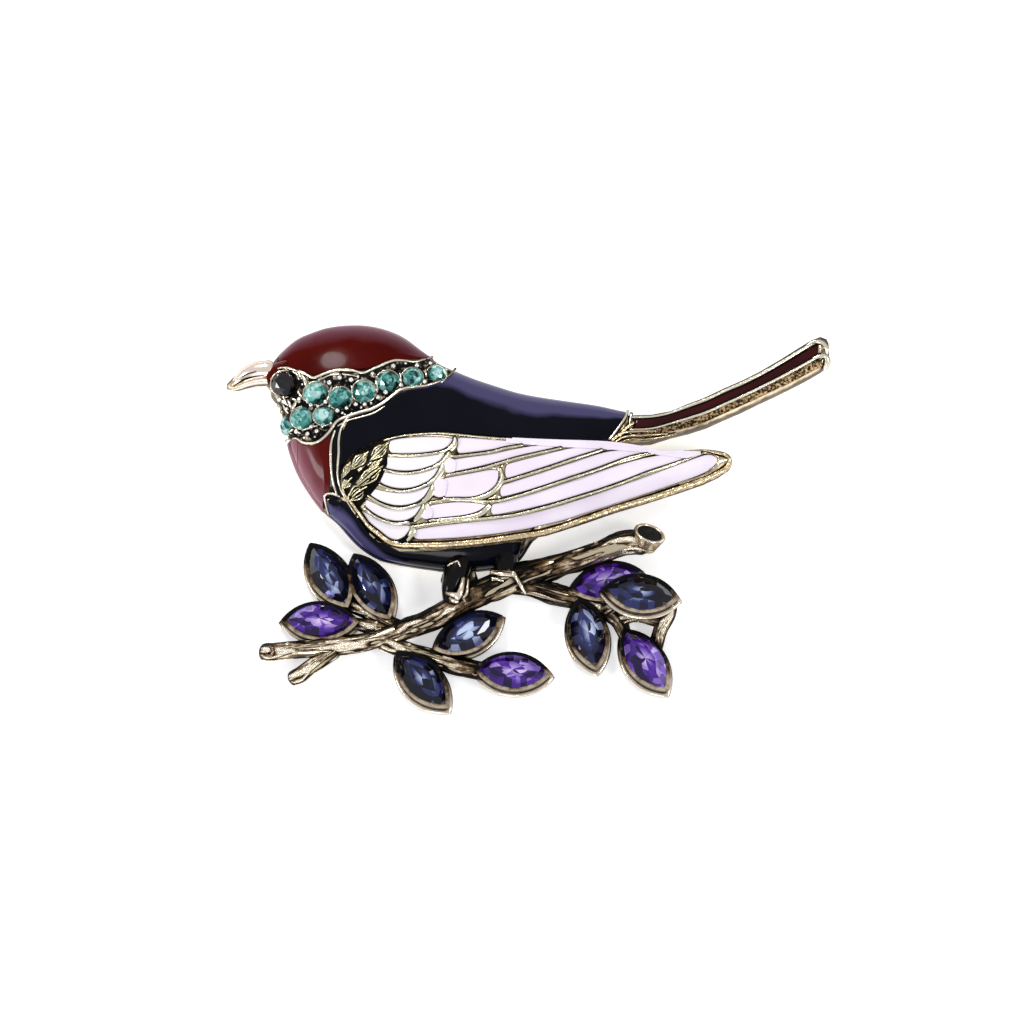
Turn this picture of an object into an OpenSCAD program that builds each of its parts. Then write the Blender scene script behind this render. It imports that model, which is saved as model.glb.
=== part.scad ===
// Bird brooch: an enamelled songbird on a branch whose leaves are marquise stones.
// It lies on its back. +Z is the front, +Y the bird's crown, +X its tail.
// Plan tables hold shares of the width, from the beak's tip and the lowest leaf's tip.

/* [Brooch] */
// Width from the beak's tip to the tail's tip
brooch_w = 70; // [64:1:76]
// Underside of the bird's edge above the table
rim_z = 1; // [0.8:0.1:1.4]
// Height of the upright metal edge round the bird
rim_h = 0.5; // [0.3:0.1:0.8]
// Rise of the body's crest above its edge
body_rise = 4.6; // [4:0.1:5]
// Depth of the hollow back
hollow_depth = 2.4; // [1.5:0.1:2.6]
// Width of the metal round the hollow back
shell_wall = 1.4; // [1:0.1:2]

/* [Wing] */
// Top of the wing above the table
wing_top = 7.6; // [7.4:0.1:8.4]
// Thickness of the wing
wing_t = 1.5; // [1.3:0.1:1.8]
// How far the wing falls to its lower edge
camber_low = 1.8; // [1.4:0.1:2]
// How far the wing falls to its upper edge
camber_high = 0.9; // [0.6:0.1:1]
// Width of the wing's lower metal rim
wing_rim = 0.65; // [0.5:0.05:0.9]
// Width of the wing's upper metal rim
wing_rim_high = 0.3; // [0.25:0.05:0.5]
// Width of the metal line between two feathers
feather_line = 0.45; // [0.35:0.05:0.6]

/* [Tail] */
// Top of the tail above the table at its root
tail_top = 4; // [3.6:0.1:4.4]
// Depth of the tail's enamel channel
tail_channel = 0.6; // [0.4:0.1:0.9]

/* [Enamel] */
// Thickness of the enamel on the body
enamel_t = 0.45; // [0.35:0.05:0.6]
// Width of the metal line between two fields of enamel
cell_line = 0.4; // [0.3:0.05:0.6]
// Clearance between the enamel and its cell
enamel_gap = 0.05; // [0.03:0.01:0.08]
// Clearance under the enamel of the body
enamel_bed = 0.12; // [0.1:0.01:0.16]
// How far the enamel lies below the metal lines
enamel_drop = 0.1; // [0.05:0.01:0.2]

/* [Stones] */
// Length of a marquise stone
leaf_len = 7.6; // [7:0.1:8]
// Width of a marquise stone
leaf_w = 3.8; // [3.4:0.1:4]
// Wall of a marquise setting
setting_wall = 0.4; // [0.3:0.02:0.5]
// Height of a marquise setting
setting_h = 2.5; // [2.3:0.1:3]
// Crown height of every cut stone, as a share of its width
crown_share = 0.28; // [0.2:0.02:0.34]
// Depth of every cut stone below its girdle, as a share of its width
pavilion_share = 0.3; // [0.24:0.02:0.34]
// Diameter of the eye stone
eye_d = 3; // [2.6:0.1:3.2]
// Width of the metal round the eye stone
eye_wall = 0.2; // [0.15:0.05:0.4]
// Clearance between a stone and its seat
stone_gap = 0.05; // [0.03:0.01:0.08]
// Diameter of a grain bead between the stones
grain_d = 0.8; // [0.6:0.05:0.95]

/* [Branch] */
// Thickness of the branch at its left end
branch_d = 2; // [1.8:0.1:2.3]
// Thickness of the twigs
twig_d = 1.3; // [1.1:0.1:1.5]
// Thickness of the stem under a leaf
stem_d = 0.8; // [0.6:0.05:0.85]
// Bore of the branch's open end
hollow_d = 3; // [2.6:0.1:3.1]
// Wall round the branch's open end
hollow_wall = 0.4; // [0.3:0.05:0.5]
// Thickness of a leg
leg_d = 1.5; // [1.2:0.1:1.8]

/* [Pin] */
// Thickness of the pin stem
pin_d = 0.9; // [0.8:0.05:1]
// Width of the hinge block and of the catch
pin_block = 3; // [2.5:0.1:3.4]
// Height of the hinge block and of the catch
pin_block_h = 2.3; // [2.1:0.1:2.4]
// Clearance between the pin and its pads
pin_gap = 0.05; // [0.03:0.01:0.1]

/* [Hidden] */
u = brooch_w / 100;
mid = [50, 32.46];
rim_top = rim_z + rim_h;
lip = 0.3;
dome_power = 0.75;
past_edge = 1;
above_all = 12;

gold = [0.76, 0.68, 0.5];
oxblood = [0.36, 0.07, 0.05];
navy = [0.08, 0.08, 0.16];
blush = [0.94, 0.89, 0.94];
teal = [0.25, 0.65, 0.58];
sapphire = [0.16, 0.18, 0.4];
amethyst = [0.3, 0.12, 0.58];
jet = [0.02, 0.02, 0.03];

// Body: share along the width, lower edge, upper edge, crest as a share of body_rise
BODY = [
  [6.6, 54.9, 55.7, 10], [7.2, 54.1, 57.4, 26], [8.6, 51.9, 59.6, 44], [9.9, 47.3, 61.1, 56],
  [11.2, 42.5, 62.3, 65], [12.5, 39.1, 63.2, 72], [14.5, 35.7, 64, 81], [16.4, 33.1, 64.7, 87],
  [19.1, 30.8, 65.1, 93], [22.4, 27.1, 65.2, 97], [25.7, 24.9, 64.6, 99], [28.9, 24.1, 63.2, 100],
  [32.2, 23.6, 60.7, 100], [35.5, 23.1, 58.3, 100], [38.8, 22.9, 56.7, 100], [42.1, 23.1, 55.4, 99],
  [45.4, 23.5, 54.3, 98], [48, 24.4, 53.4, 95], [50.3, 27.8, 52.9, 92], [53, 29.9, 52.4, 88],
  [58.6, 34.5, 51.6, 76], [61.8, 39.6, 51.1, 66], [66.6, 44.6, 49.9, 48],
];
// Wing: share along the width, lower edge, upper edge, height as a share of wing_top
WING = [
  [19.4, 36.7, 38.5, 88], [19.9, 34.7, 39.4, 90], [21.2, 32.8, 40.9, 93], [22.7, 30.9, 42, 96],
  [24, 29, 42.6, 97], [25.7, 27.6, 43.3, 99], [27.3, 26.3, 43.8, 100], [28.9, 25.8, 44.2, 100],
  [32.2, 25.7, 44.5, 100], [36.3, 25.8, 44.6, 100], [42.1, 26.3, 44.1, 99], [47.5, 27.1, 43.7, 98],
  [53, 28.1, 43.5, 95], [58.6, 30, 43.4, 92], [64, 32.1, 43.3, 86], [69.4, 34, 42.7, 78],
  [72, 35, 42.1, 74], [74.8, 36, 42.4, 71], [78.9, 37.6, 42.7, 66], [81.4, 38.9, 42.3, 62],
  [82.7, 39.9, 41.8, 60], [83.4, 40.8, 41.4, 58],
];
// Tail: share along the width, lower edge, upper edge, height as a share of tail_top
TAIL = [
  [62, 44.8, 49, 0], [66.3, 44.6, 49.2, 0], [66.7, 44.5, 49.2, 100], [70.4, 44.8, 49.3, 99], [73.5, 45.8, 49.9, 97],
  [76.6, 46.6, 51.2, 94], [79.6, 47.6, 52.5, 91], [82.6, 49, 54, 88], [85.7, 50.4, 55.4, 85],
  [88.7, 51.9, 57, 82], [91.8, 53.4, 58.9, 79], [94.7, 54.9, 60.8, 76], [97.2, 56.3, 62.4, 73],
  [98.7, 57.2, 63, 71], [99.7, 58, 62.6, 70], [100, 58.6, 61.8, 69],
];
// Enamel channel across the tail, as shares of its width from the lower edge
CHANNEL = [0.4, 0.79];
// Beak: share along the width, lower edge, upper edge, height as a share of body_rise
BEAK = [
  [0, 54.3, 55, 12], [1, 53.9, 56, 24], [2, 54, 56.8, 34], [3.3, 54.4, 57.4, 42],
  [4.9, 54.8, 57.8, 50], [6.6, 54.9, 58, 56], [8, 55.2, 58.1, 58],
];

// Metal lines of the body: share along the width, share of its middle above the lowest leaf
CROWN_LINE = [
  [6, 57.2], [8.6, 56.7], [9.7, 56.8], [10.9, 56.4], [13.5, 55.1], [14.6, 54.5], [16.3, 55.1],
  [18.4, 55.7], [20.7, 55.7], [22.9, 55.2], [25.2, 56.3], [28, 57.5], [31.1, 57.5], [32.7, 58.1],
  [34.2, 58.9],
];
BAND_LINE = [
  [9.9, 45], [11.8, 44.6], [13, 43.7], [14.5, 43.4], [15.8, 43.7], [17.3, 45], [18.6, 46.8],
  [20.4, 47.6], [22.4, 48.3], [24.3, 48.8], [26, 49.8], [27.7, 51.2], [29.1, 52.3], [31.1, 52.8],
  [33.4, 53.2], [35.7, 54.3], [37.3, 55.8], [38, 57],
];

// Metal lines of the wing, from the one next to the upper edge down, each to where it fades
WING_LINES = [
  [[37.3, 40.2], [43.4, 41], [46.2, 41.8], [49.3, 42.4], [55.3, 43.5]],
  [[36.7, 37], [42.5, 38.2], [48.4, 40.1], [55.8, 42.1], [61.8, 43.4]],
  [[45.4, 35.8], [47, 36.2], [53, 38.3], [58.5, 40.4], [62.5, 41.9], [66.8, 43.3]],
  [[33.9, 32.4], [38.2, 33.1], [44.1, 32.7], [48.4, 33.6], [55.8, 36.2], [61.2, 38.2],
    [66.6, 40.6], [70.2, 41.6], [74.2, 42.4]],
  [[30.9, 28.6], [38.2, 29.6], [42.3, 29.9], [47.5, 30.5], [53, 31.9], [58.5, 33.7], [64, 35.7],
    [69.4, 38], [76.2, 40.7], [79.1, 42]],
];
// Share along the width where each of those lines ends
LINE_ENDS = [49.3, 55.8, 62.5, 70.2, 76.2];

// Long feathers: name number, first and last share along the width, line above, line below,
// roundness of the left and of the right end. Line -1 is the upper rim, line 5 the lower rim.
LONG = [
  [1, 38.3, 51, -1, 0, 0.6, 1], [2, 37.3, 57.8, 0, 1, 0.6, 1], [3, 36, 45.2, 1, 3, 0.6, 2.6],
  [4, 46.2, 64.2, 1, 2, 0.6, 1], [5, 45.4, 69.9, 2, 3, 0.6, 1], [6, 33.8, 43.2, 3, 4, 0.6, 2.6],
  [7, 43.9, 78, 3, 4, 0.6, 1], [8, 31.2, 81.2, 4, 5, 1, 2],
];
// Short feathers: first and last share, lower edge at the left, its sag, at the right,
// upper edge at the left, its sag, at the right
SHORT = [
  [27.2, 37.7, 40.9, -0.5, 41.8, 43.4, 0.4, 43.8],
  [26.5, 36.7, 38.3, -1.3, 39.9, 40.4, -0.5, 41.4],
  [25.7, 35.7, 35.7, -1.8, 37.3, 37.9, -1.2, 39.5],
  [23.9, 34.1, 34, -2.1, 33.8, 35.3, -1.3, 35.5],
  [23.3, 32.6, 32.1, -1.9, 30.6, 33.5, -1.45, 32.3],
  [21.9, 30.9, 31.4, -2.3, 27.2, 32.5, -1.2, 29.1],
];

// Stones of the band: share along the width, share above the lowest leaf, diameter in mm
TEAL = [
  [10.4, 47.1, 2.1], [12.9, 47.8, 2.5], [15.1, 51.8, 2.6], [16.5, 47.9, 2.2], [19.2, 50.7, 2.6],
  [23, 51.8, 2.6], [26.9, 53.6, 2.5], [30.9, 54.4, 2.3], [34.9, 55.4, 2.1],
];
// Grain beads: share along the width, share above the lowest leaf
GRAINS = [
  [17.3, 53.4], [19, 54.2], [20.9, 53.8], [24.4, 54.6], [27.8, 56.1], [31.7, 56.5], [33.9, 57.2],
  [16.6, 50.1], [12.3, 50.6], [14.4, 49.2], [18.7, 48.7], [20.2, 49.1], [21.7, 49.8],
  [23.2, 49.7], [25.8, 50.8], [26.6, 51.7], [29.4, 52.9], [33.2, 54], [13.8, 44.9],
  [15.3, 45.2], [14.4, 46.1], [9, 50.9], [9.5, 49.6], [11, 45.8],
];

// Eye stone: share along the width, share above the lowest leaf, height of its girdle in mm
EYE = [9.7, 53.9, 4.4];

// Leaves: share along the width, share above the lowest leaf, turn, height of its base, colour
LEAVES = [
  [17.4, 22, -60, 0, "blue"], [24.4, 20.1, -62, 0, "blue"], [16, 14.3, -2, 0, "purple"],
  [40.2, 12.3, 27, 0, "blue"], [32.8, 4.4, -48, 0, "blue"], [47.5, 5.8, -4, 0, "purple"],
  [59.8, 12.1, -77, 0, "blue"], [62.9, 21, 14, 0, "purple"], [68.3, 17.6, -7, 3.7, "blue"],
  [69.1, 7.7, -56, 0, "purple"],
];

// Stems: where each leaf's stem leaves its twig, in shares and mm of height
STEMS = [
  [20.8, 17.4, 1.3], [23.5, 16.3, 1.4], [21.2, 14.4, 1.3], [38.6, 17, 2.4], [34, 8.6, 1.4],
  [42, 6.3, 1.4], [59.6, 17.8, 1.4], [61.5, 17, 1.5], [65.8, 17.4, 4.2], [66, 11.8, 1.4],
];

// Branch and twigs: share along the width, share above the lowest leaf, height in mm,
// thickness as a share of branch_d or twig_d
BRANCH = [
  [6.6, 9.3, 1.9, 80], [7.4, 9.3, 1.9, 98], [12.5, 9.7, 2, 98], [20.6, 10.4, 2.1, 106],
  [25, 11.2, 2.2, 100], [29.6, 12.8, 2.3, 110], [33.9, 14.5, 2.4, 124], [38, 16.8, 2.4, 132],
  [42.9, 19.3, 2.5, 146], [47.9, 21.4, 2.5, 150], [53.8, 23.2, 2.6, 134], [60, 25.2, 2.7, 126],
  [66, 27.3, 2.8, 138], [69.4, 27.6, 2.8, 140], [70.6, 27.2, 2.8, 110],
];
TWIGS = [
  [[20.8, 17.4, 1.3, 110], [23.5, 16.3, 1.4, 130], [26.5, 14.4, 1.4, 150], [29.6, 13, 2, 140]],
  [[21.2, 14.4, 1.3, 90], [24.4, 13.6, 1.5, 130], [27.8, 12.4, 2, 120]],
  [[11.6, 5, 1.5, 120], [12.5, 5.4, 1.6, 135], [14.4, 6.8, 1.7, 130], [18.4, 9.4, 2, 125]],
  [[26.4, 11, 2, 150], [30.5, 9.6, 1.4, 150], [34, 8.6, 1.4, 150], [38, 7.2, 1.4, 160],
    [42, 6.3, 1.4, 160]],
  [[46.5, 20.4, 2.2, 130], [50.8, 20, 2.2, 160], [54.6, 19, 1.8, 190], [59.6, 17.8, 1.4, 150],
    [62.4, 16.6, 1.5, 165], [64.9, 14.6, 1.5, 140], [66, 11.8, 1.4, 100]],
  [[62.4, 16.4, 1.8, 110], [64, 16.8, 3.2, 110], [65.8, 17.4, 4.2, 110]],
  [[73.4, 16.6, 4.3, 100], [73, 15.2, 3.2, 125], [71.6, 12.8, 2, 120], [70.8, 10, 1.3, 120]],
  [[64.8, 14.7, 1.7, 90], [68, 15.1, 2, 90], [71.6, 14, 2.4, 90]],
];
// Open end of the branch: share along the width, share above the lowest leaf, height in mm
HOLLOW = [69.1, 26.8, 2.6];
HOLLOW_DIR = [0.3, 0.62, 0.72];

// Feet: where each shank or claw starts and ends, in shares and mm of height
CLAWS = [
  [39.5, 20.6, 3.7, 38.9, 18.6, 3.9], [38.9, 18.8, 3.8, 36.7, 19, 3.5],
  [38.6, 18.6, 3.8, 37.4, 17.2, 3.6], [39, 18.6, 3.8, 39.7, 17.1, 3.6],
  [44.2, 22, 3.9, 47.6, 21.7, 4.3], [47.6, 21.7, 4.3, 49.5, 18.8, 3.7],
  [44.4, 20.9, 3.7, 46.8, 21.2, 4.1],
];
// Legs: start and end in shares and mm of height, thickness as a share of leg_d
LEGS = [
  [37.8, 21.6, 2.3, 38, 20.2, 3.1, 135], [39.7, 21.6, 2.3, 39.5, 20.6, 3, 135],
  [46.5, 22, 2.4, 47, 21.8, 3.2, 150],
];
// Barbs in relief on the shoulder: start and end in shares
BARBS = [
  [20.6, 38.4, 22, 40], [21.6, 39.6, 23, 41.2], [23, 40, 24.4, 41.8], [24.6, 40.6, 26.2, 42.4],
  [20.6, 36.4, 22.2, 38.2], [22.4, 38, 24, 39.6], [24, 38.8, 25.6, 40.4], [20.8, 34.4, 22.2, 36.2],
  [22.2, 35.8, 23.6, 37.2], [24, 36.8, 25.4, 38.4], [21.4, 33.2, 22.6, 34.8],
];

// Pin: shares along the width of the hinge and of the catch, share above the lowest leaf
PIN = [18, 54, 45.5];

// Values read from a table at a share along the width
function col(t, k) = [for (r = t) [r[0], r[k]]];
function at(t, k, x) = lookup(x, col(t, k));
function px(x) = (x - mid[0]) * u;
function py(y) = (y - mid[1]) * u;
function clamp(v, a, b) = min(max(v, a), b);
function dome(v) = v <= 0 || v >= 1 ? 0 : pow(2 * sqrt(v * (1 - v)), dome_power);

// Heights over the plan, in mm, for a place given in shares
function body_v(x, y, inset) =
  let (lo = at(BODY, 1, x) + inset / u, hi = at(BODY, 2, x) - inset / u)
  hi <= lo ? 0 : (y - lo) / (hi - lo);
function crest(x) = at(BODY, 3, x) / 100;
function body_z(x, y) = rim_top + lip + body_rise * crest(x) * dome(body_v(x, y, 0));
function core_z(x, y) =
  rim_top + max(body_rise * crest(x) + lip - enamel_t, 0.05) * dome(body_v(x, y, enamel_t));
function back_z(x, y) =
  x < 9 || x > 62 ? rim_z : rim_z + hollow_depth * crest(x) * dome(body_v(x, y, shell_wall));
function wing_v(x, y) =
  let (lo = at(WING, 1, x), hi = at(WING, 2, x)) clamp((y - lo) / (hi - lo), 0, 1);
function wing_z(x, y) =
  let (v = 2 * wing_v(x, y) - 1, c = v < 0 ? camber_low : camber_high)
  wing_top * at(WING, 3, x) / 100 - c * v * v;
function tail_v(x, y) =
  let (lo = at(TAIL, 1, x), hi = at(TAIL, 2, x)) (y - lo) / (hi - lo);
function tail_z(x, y) =
  rim_top + (tail_top - rim_top) * at(TAIL, 3, x) / 100 * (0.45 + 0.55 * dome(tail_v(x, y)));
function beak_z(x, y) =
  let (lo = at(BEAK, 1, x), hi = at(BEAK, 2, x))
  rim_top + body_rise * at(BEAK, 3, x) / 100 * (0.3 + 0.7 * dome((y - lo) / (hi - lo)));

// Places across each row of [x, low, high], closer together towards its edges
function grid(rows, across) = [for (r = rows)
  [r[0], [for (j = [0:across]) r[1] + (r[2] - r[1]) * (1 - cos(180 * j / across)) / 2]]];

// The grid of the cell round an enamel field: its outer places stand a clearance away.
// On the side that reaches the bird's outline, a place past the outline is added.
function cell_grid(g, open_low = false, open_high = false) =
  let (n = len(g) - 1, m = len(g[0][1]) - 1, gap = enamel_gap / u)
  [for (i = [0:n])
    let (x = g[i][0], y = g[i][1], lo = y[0], hi = y[m])
    [i == 0 ? x - gap : i == n ? x + gap : x,
      concat(
        open_low ? [lo - reach(x, lo), lo] : [lo - gap],
        [for (j = [1:m - 1]) y[j]],
        open_high ? [hi, hi + reach(x, hi)] : [hi + gap]
      )]];
function reach(x, y) =
  (min(abs(y - at(BODY, 1, x)), abs(y - at(BODY, 2, x))) < 0.2 ? past_edge : enamel_gap) / u;

// A closed sheet over a grid in shares, between two height functions
module sheet(g, top, bottom) {
  n = len(g) - 1;
  m = len(g[0][1]) - 1;
  places = [for (r = g) for (y = r[1]) [r[0], y]];
  count = len(places);
  points = concat(
    [for (p = places) [px(p[0]), py(p[1]), top(p[0], p[1])]],
    [for (p = places) [px(p[0]), py(p[1]), bottom(p[0], p[1])]]
  );
  function id(i, j) = i * (m + 1) + j;
  upper = [for (i = [0:n - 1]) for (j = [0:m - 1])
    each [[id(i, j), id(i, j + 1), id(i + 1, j)], [id(i, j + 1), id(i + 1, j + 1), id(i + 1, j)]]];
  lower = [for (f = upper) [f[2] + count, f[1] + count, f[0] + count]];
  loop = concat(
    [for (j = [0:m - 1]) [id(0, j), id(0, j + 1)]],
    [for (i = [0:n - 1]) [id(i, m), id(i + 1, m)]],
    [for (j = [m:-1:1]) [id(n, j), id(n, j - 1)]],
    [for (i = [n:-1:1]) [id(i, 0), id(i - 1, 0)]]
  );
  side = [for (e = loop)
    each [[e[1], e[0], e[0] + count], [e[1], e[0] + count, e[1] + count]]];
  polyhedron(points, concat(upper, lower, side));
}

// A closed skin over rings of equal length, from the lowest ring to the highest.
// It closes below in a fan to the foot, if one is given, and otherwise flat.
module skin(rings, foot = undef) {
  n = len(rings[0]);
  last = len(rings) - 1;
  points = concat([for (r = rings) for (p = r) p], is_undef(foot) ? [] : [foot]);
  side = [for (i = [0:last - 1]) for (j = [0:n - 1])
    let (a = i * n + j, b = i * n + (j + 1) % n)
    each [[a, a + n, b], [b, a + n, b + n]]];
  cap = is_undef(foot)
    ? [for (j = [1:n - 2]) [0, j, j + 1]]
    : [for (j = [0:n - 1]) [(last + 1) * n, j, (j + 1) % n]];
  lid = [for (j = [1:n - 2]) [last * n, last * n + j + 1, last * n + j]];
  polyhedron(points, concat(side, cap, lid));
}

// A round rod along rows of [x, y, height, thickness share]
module rod(rows, d, sides) {
  p = [for (r = rows) [px(r[0]), py(r[1]), r[2]]];
  last = len(p) - 1;
  skin([for (i = [0:last])
    let (
      a = p[max(i - 1, 0)],
      b = p[min(i + 1, last)],
      t = (b - a) / norm(b - a),
      s = cross([0, 0, 1], t) / norm(cross([0, 0, 1], t)),
      w = cross(t, s),
      r = d * rows[i][3] / 200
    )
    [for (k = [0:sides - 1])
      p[i] + r * (sin(-360 * k / sides) * s + cos(-360 * k / sides) * w)]]);
}

// Rows of a field of enamel between two edges given as functions of the share along the width
keep = cell_line / 2 + enamel_gap;
function field(xs, low, high) = [for (x = xs) [x, min(low(x), high(x) - 0.05), high(x)]];
function body_low(x) = at(BODY, 1, x) + enamel_gap / u;
function body_high(x) = at(BODY, 2, x) - enamel_gap / u;

crown_rows = field(
  concat([for (r = BODY) if (r[0] > 8 && r[0] < 33) r[0]], [33.3]),
  function(x) lookup(x, CROWN_LINE) + keep / u,
  function(x) body_high(x)
);
breast_rows = field(
  [11.5, 12, 12.7, 13.5, 14.5, 15.5, 16.3, 16.7, 17.6],
  function(x) x < 16.4 ? body_low(x) : 34.4 + keep / u,
  function(x) lookup(x, BAND_LINE) - keep / u
);
belly_rows = field(
  [17.6, 18.4, 19.6, 20.6, 22.4, 24, 25.7, 28.9, 32.2, 35.5, 38.8, 42.1, 45.4, 48, 48.8],
  function(x) body_low(x),
  function(x) (x < 20 ? 34.2 : at(WING, 1, x)) - keep / u
);
back_rows = field(
  concat([19, 19.6, 20.6, 21.4, 22.4, 24.3, 26, 27.7, 29.1, 31.1, 33.4, 35.7, 37.3],
    [38, 40.4, 42.1, 45.4, 48, 50.3, 53, 58.6, 61.8, 63, 65, 66.2]),
  function(x) (x < 63 ? at(WING, 2, x) : lookup(x, [[63, 43.9], [65.6, 46.4], [66.6, 48.6]])) + keep / u,
  function(x) x > 37.6 ? body_high(x) : min(lookup(x, BAND_LINE), x < 19.7 ? 45.4 : 60) - keep / u
);
tail_rows = [for (x = [67.4, 70.4, 73.5, 76.6, 79.6, 82.6, 85.7, 88.7, 91.8, 94.7, 97.2, 98.1])
  let (lo = at(TAIL, 1, x), hi = at(TAIL, 2, x))
  [x, lo + (hi - lo) * CHANNEL[0] + enamel_gap / u, lo + (hi - lo) * CHANNEL[1] - enamel_gap / u]];

// Half the metal left beside a wing line: it thins to nothing past the line's end
function line_half(i, x) =
  i < 0 ? wing_rim_high : i > 4 ? wing_rim : feather_line / 2 * clamp((LINE_ENDS[i] + 0.6 - x) / 0.6, 0, 1);
function line_y(i, x) =
  i < 0 ? at(WING, 2, x) : i > 4 ? at(WING, 1, x) : lookup(x, WING_LINES[i]);
function rounding(x, a, b, left, right) =
  let (l = clamp((x - a) / left, 0, 1), r = clamp((b - x) / right, 0, 1))
  sqrt(max(1 - pow(1 - l, 2), 0.04)) * sqrt(max(1 - pow(1 - r, 2), 0.04));
// A row narrowed by k towards a place across it: 0 at its lower edge, 1 at its upper edge
function squeeze(x, lo, hi, k, to) =
  let (c = lo + (hi - lo) * to) [x, c - (c - lo) * k, c + (hi - c) * k];
function long_xs(a, b, left, right) =
  let (w = b - a, steps = floor(w / 7))
  concat([a, a + left * 0.4, a + left],
    [for (i = [1:steps]) a + left + (w - left - right) * i / (steps + 1)],
    [b - right, b - right * 0.4, b - right * 0.1, b]);
function long_rows(f) =
  [for (x = long_xs(f[1] + enamel_gap / u, f[2] - enamel_gap / u, f[5], f[6]))
    let (
      rim = at(WING, 2, x) - (wing_rim_high + enamel_gap) / u,
      hi = min(rim, line_y(f[3], x) - (line_half(f[3], x) + enamel_gap) / u),
      lo = line_y(f[4], x) + (line_half(f[4], x) + enamel_gap) / u,
      open = max(hi - lo, 0.1)
    )
    squeeze(x, hi - open, hi, rounding(x, f[1], f[2], f[5], f[6]), f[6] > 2 ? 0.8 : 0.5)];
function short_rows(f) =
  let (a = f[0] + enamel_gap / u, b = f[1] - enamel_gap / u, w = b - a)
  [for (x = [a, a + 0.4, a + w * 0.25, a + w * 0.5, b - 2.4, b - 1.2, b - 0.4, b])
    let (
      t = (x - f[0]) / (f[1] - f[0]),
      bow = 4 * t * (1 - t),
      lo = f[2] + (f[4] - f[2]) * t + f[3] * bow + enamel_gap / u,
      hi = f[5] + (f[7] - f[5]) * t + f[6] * bow - enamel_gap / u
    )
    squeeze(x, lo, hi, rounding(x, f[0], f[1], 0.4, 2.4), x < f[0] + 1 ? 0.5 : 0.85)];

// Fields as solids: the enamel itself, and the cell that is cut for it
sky = function(x, y) above_all;
module body_enamel(rows) {
  sheet(grid(rows, 6), function(x, y) body_z(x, y) - enamel_drop,
    function(x, y) core_z(x, y) + enamel_bed);
}
module body_cell(rows, low, high) {
  sheet(cell_grid(grid(rows, 6), low, high), sky, function(x, y) core_z(x, y));
}
module wing_enamel(rows) {
  sheet(grid(rows, 2), function(x, y) wing_z(x, y) - enamel_drop,
    function(x, y) wing_z(x, y) - enamel_t + enamel_gap);
}
module wing_cell(rows) {
  sheet(cell_grid(grid(rows, 2)), sky, function(x, y) wing_z(x, y) - enamel_t);
}
module tail_enamel() {
  sheet(grid(tail_rows, 2), function(x, y) tail_z(x, y) - enamel_drop,
    function(x, y) tail_z(x, y) - tail_channel + enamel_gap);
}
module tail_cell() {
  sheet(cell_grid(grid(tail_rows, 2)), sky, function(x, y) tail_z(x, y) - tail_channel);
}

// Outlines of cut stones, as rings of equal length
ROUND_SIDES = 12;
LEAF_SIDES = 12;
function round_ring(r, z) =
  [for (k = [0:ROUND_SIDES - 1]) [r * cos(360 * k / ROUND_SIDES), r * sin(360 * k / ROUND_SIDES), z]];
// Two arcs through the tips: their radius and half angle follow from length and width
function leaf_ring(l, w, z) =
  let (r = (l * l + w * w) / (4 * w), a = asin(l / 2 / r), h = LEAF_SIDES / 2)
  [for (k = [0:LEAF_SIDES - 1])
    let (s = k < h ? 1 : -1, t = a * (1 - 2 * (k % h) / h) * s)
    [r * sin(t), s * (r * cos(t) - (r - w / 2)), z]];

module round_stone(d) {
  skin([
    round_ring(d / 2, -d * 0.03),
    round_ring(d / 2, d * 0.03),
    round_ring(d * 0.3, d * crown_share),
  ], [0, 0, -d * pavilion_share]);
}

module leaf_stone() {
  skin([
    leaf_ring(leaf_len, leaf_w, -0.1),
    leaf_ring(leaf_len, leaf_w, 0.1),
    leaf_ring(leaf_len * 0.6, leaf_w * 0.6, leaf_w * crown_share),
  ], [0, 0, -leaf_w * pavilion_share]);
}

// Direction square to the body's surface, leaned back towards the viewer
function lean(x, y) =
  let (
    e = 0.4,
    gx = (body_z(x + e, y) - body_z(x - e, y)) / (2 * e * u),
    gy = (body_z(x, y + e) - body_z(x, y - e)) / (2 * e * u),
    v = [-gx, -gy, 2.8]
  )
  v / norm(v);
module aim(p, dir) {
  translate(p)
    rotate([0, acos(dir[2]), atan2(dir[1], dir[0])])
      children();
}
module on_body(x, y) {
  aim([px(x), py(y), body_z(x, y)], lean(x, y)) children();
}
module on_leaf(f) {
  translate([px(f[0]), py(f[1]), f[3]]) rotate([0, 0, f[2]]) children();
}

module bird_body() {
  difference() {
    sheet(grid(BODY, 8), function(x, y) body_z(x, y), function(x, y) back_z(x, y));
    body_cell(crown_rows, false, true);
    body_cell(breast_rows, true, false);
    body_cell(back_rows, false, true);
    body_cell(belly_rows, true, false);
  }
}

module wing() {
  difference() {
    sheet(grid(WING, 6), function(x, y) wing_z(x, y), function(x, y) wing_z(x, y) - wing_t);
    for (f = SHORT) wing_cell(short_rows(f));
    for (f = LONG) wing_cell(long_rows(f));
  }
}

module tail() {
  difference() {
    sheet(grid(TAIL, 6), function(x, y) tail_z(x, y), function(x, y) rim_z);
    tail_cell();
    sheet(grid([[98.7, 59.5, 60.3], [101, 60.1, 61.2]], 1), sky, function(x, y) 0);
  }
}

module beak() {
  sheet(grid(BEAK, 6), function(x, y) beak_z(x, y), function(x, y) rim_z + 0.3);
}

module barb(b) {
  hull() {
    for (p = [[b[0], b[1], 0.75], [b[2], b[3], 0.45]])
      translate([px(p[0]), py(p[1]), wing_z(p[0], p[1])])
        sphere(d = p[2], $fn = 4);
  }
}

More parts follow.
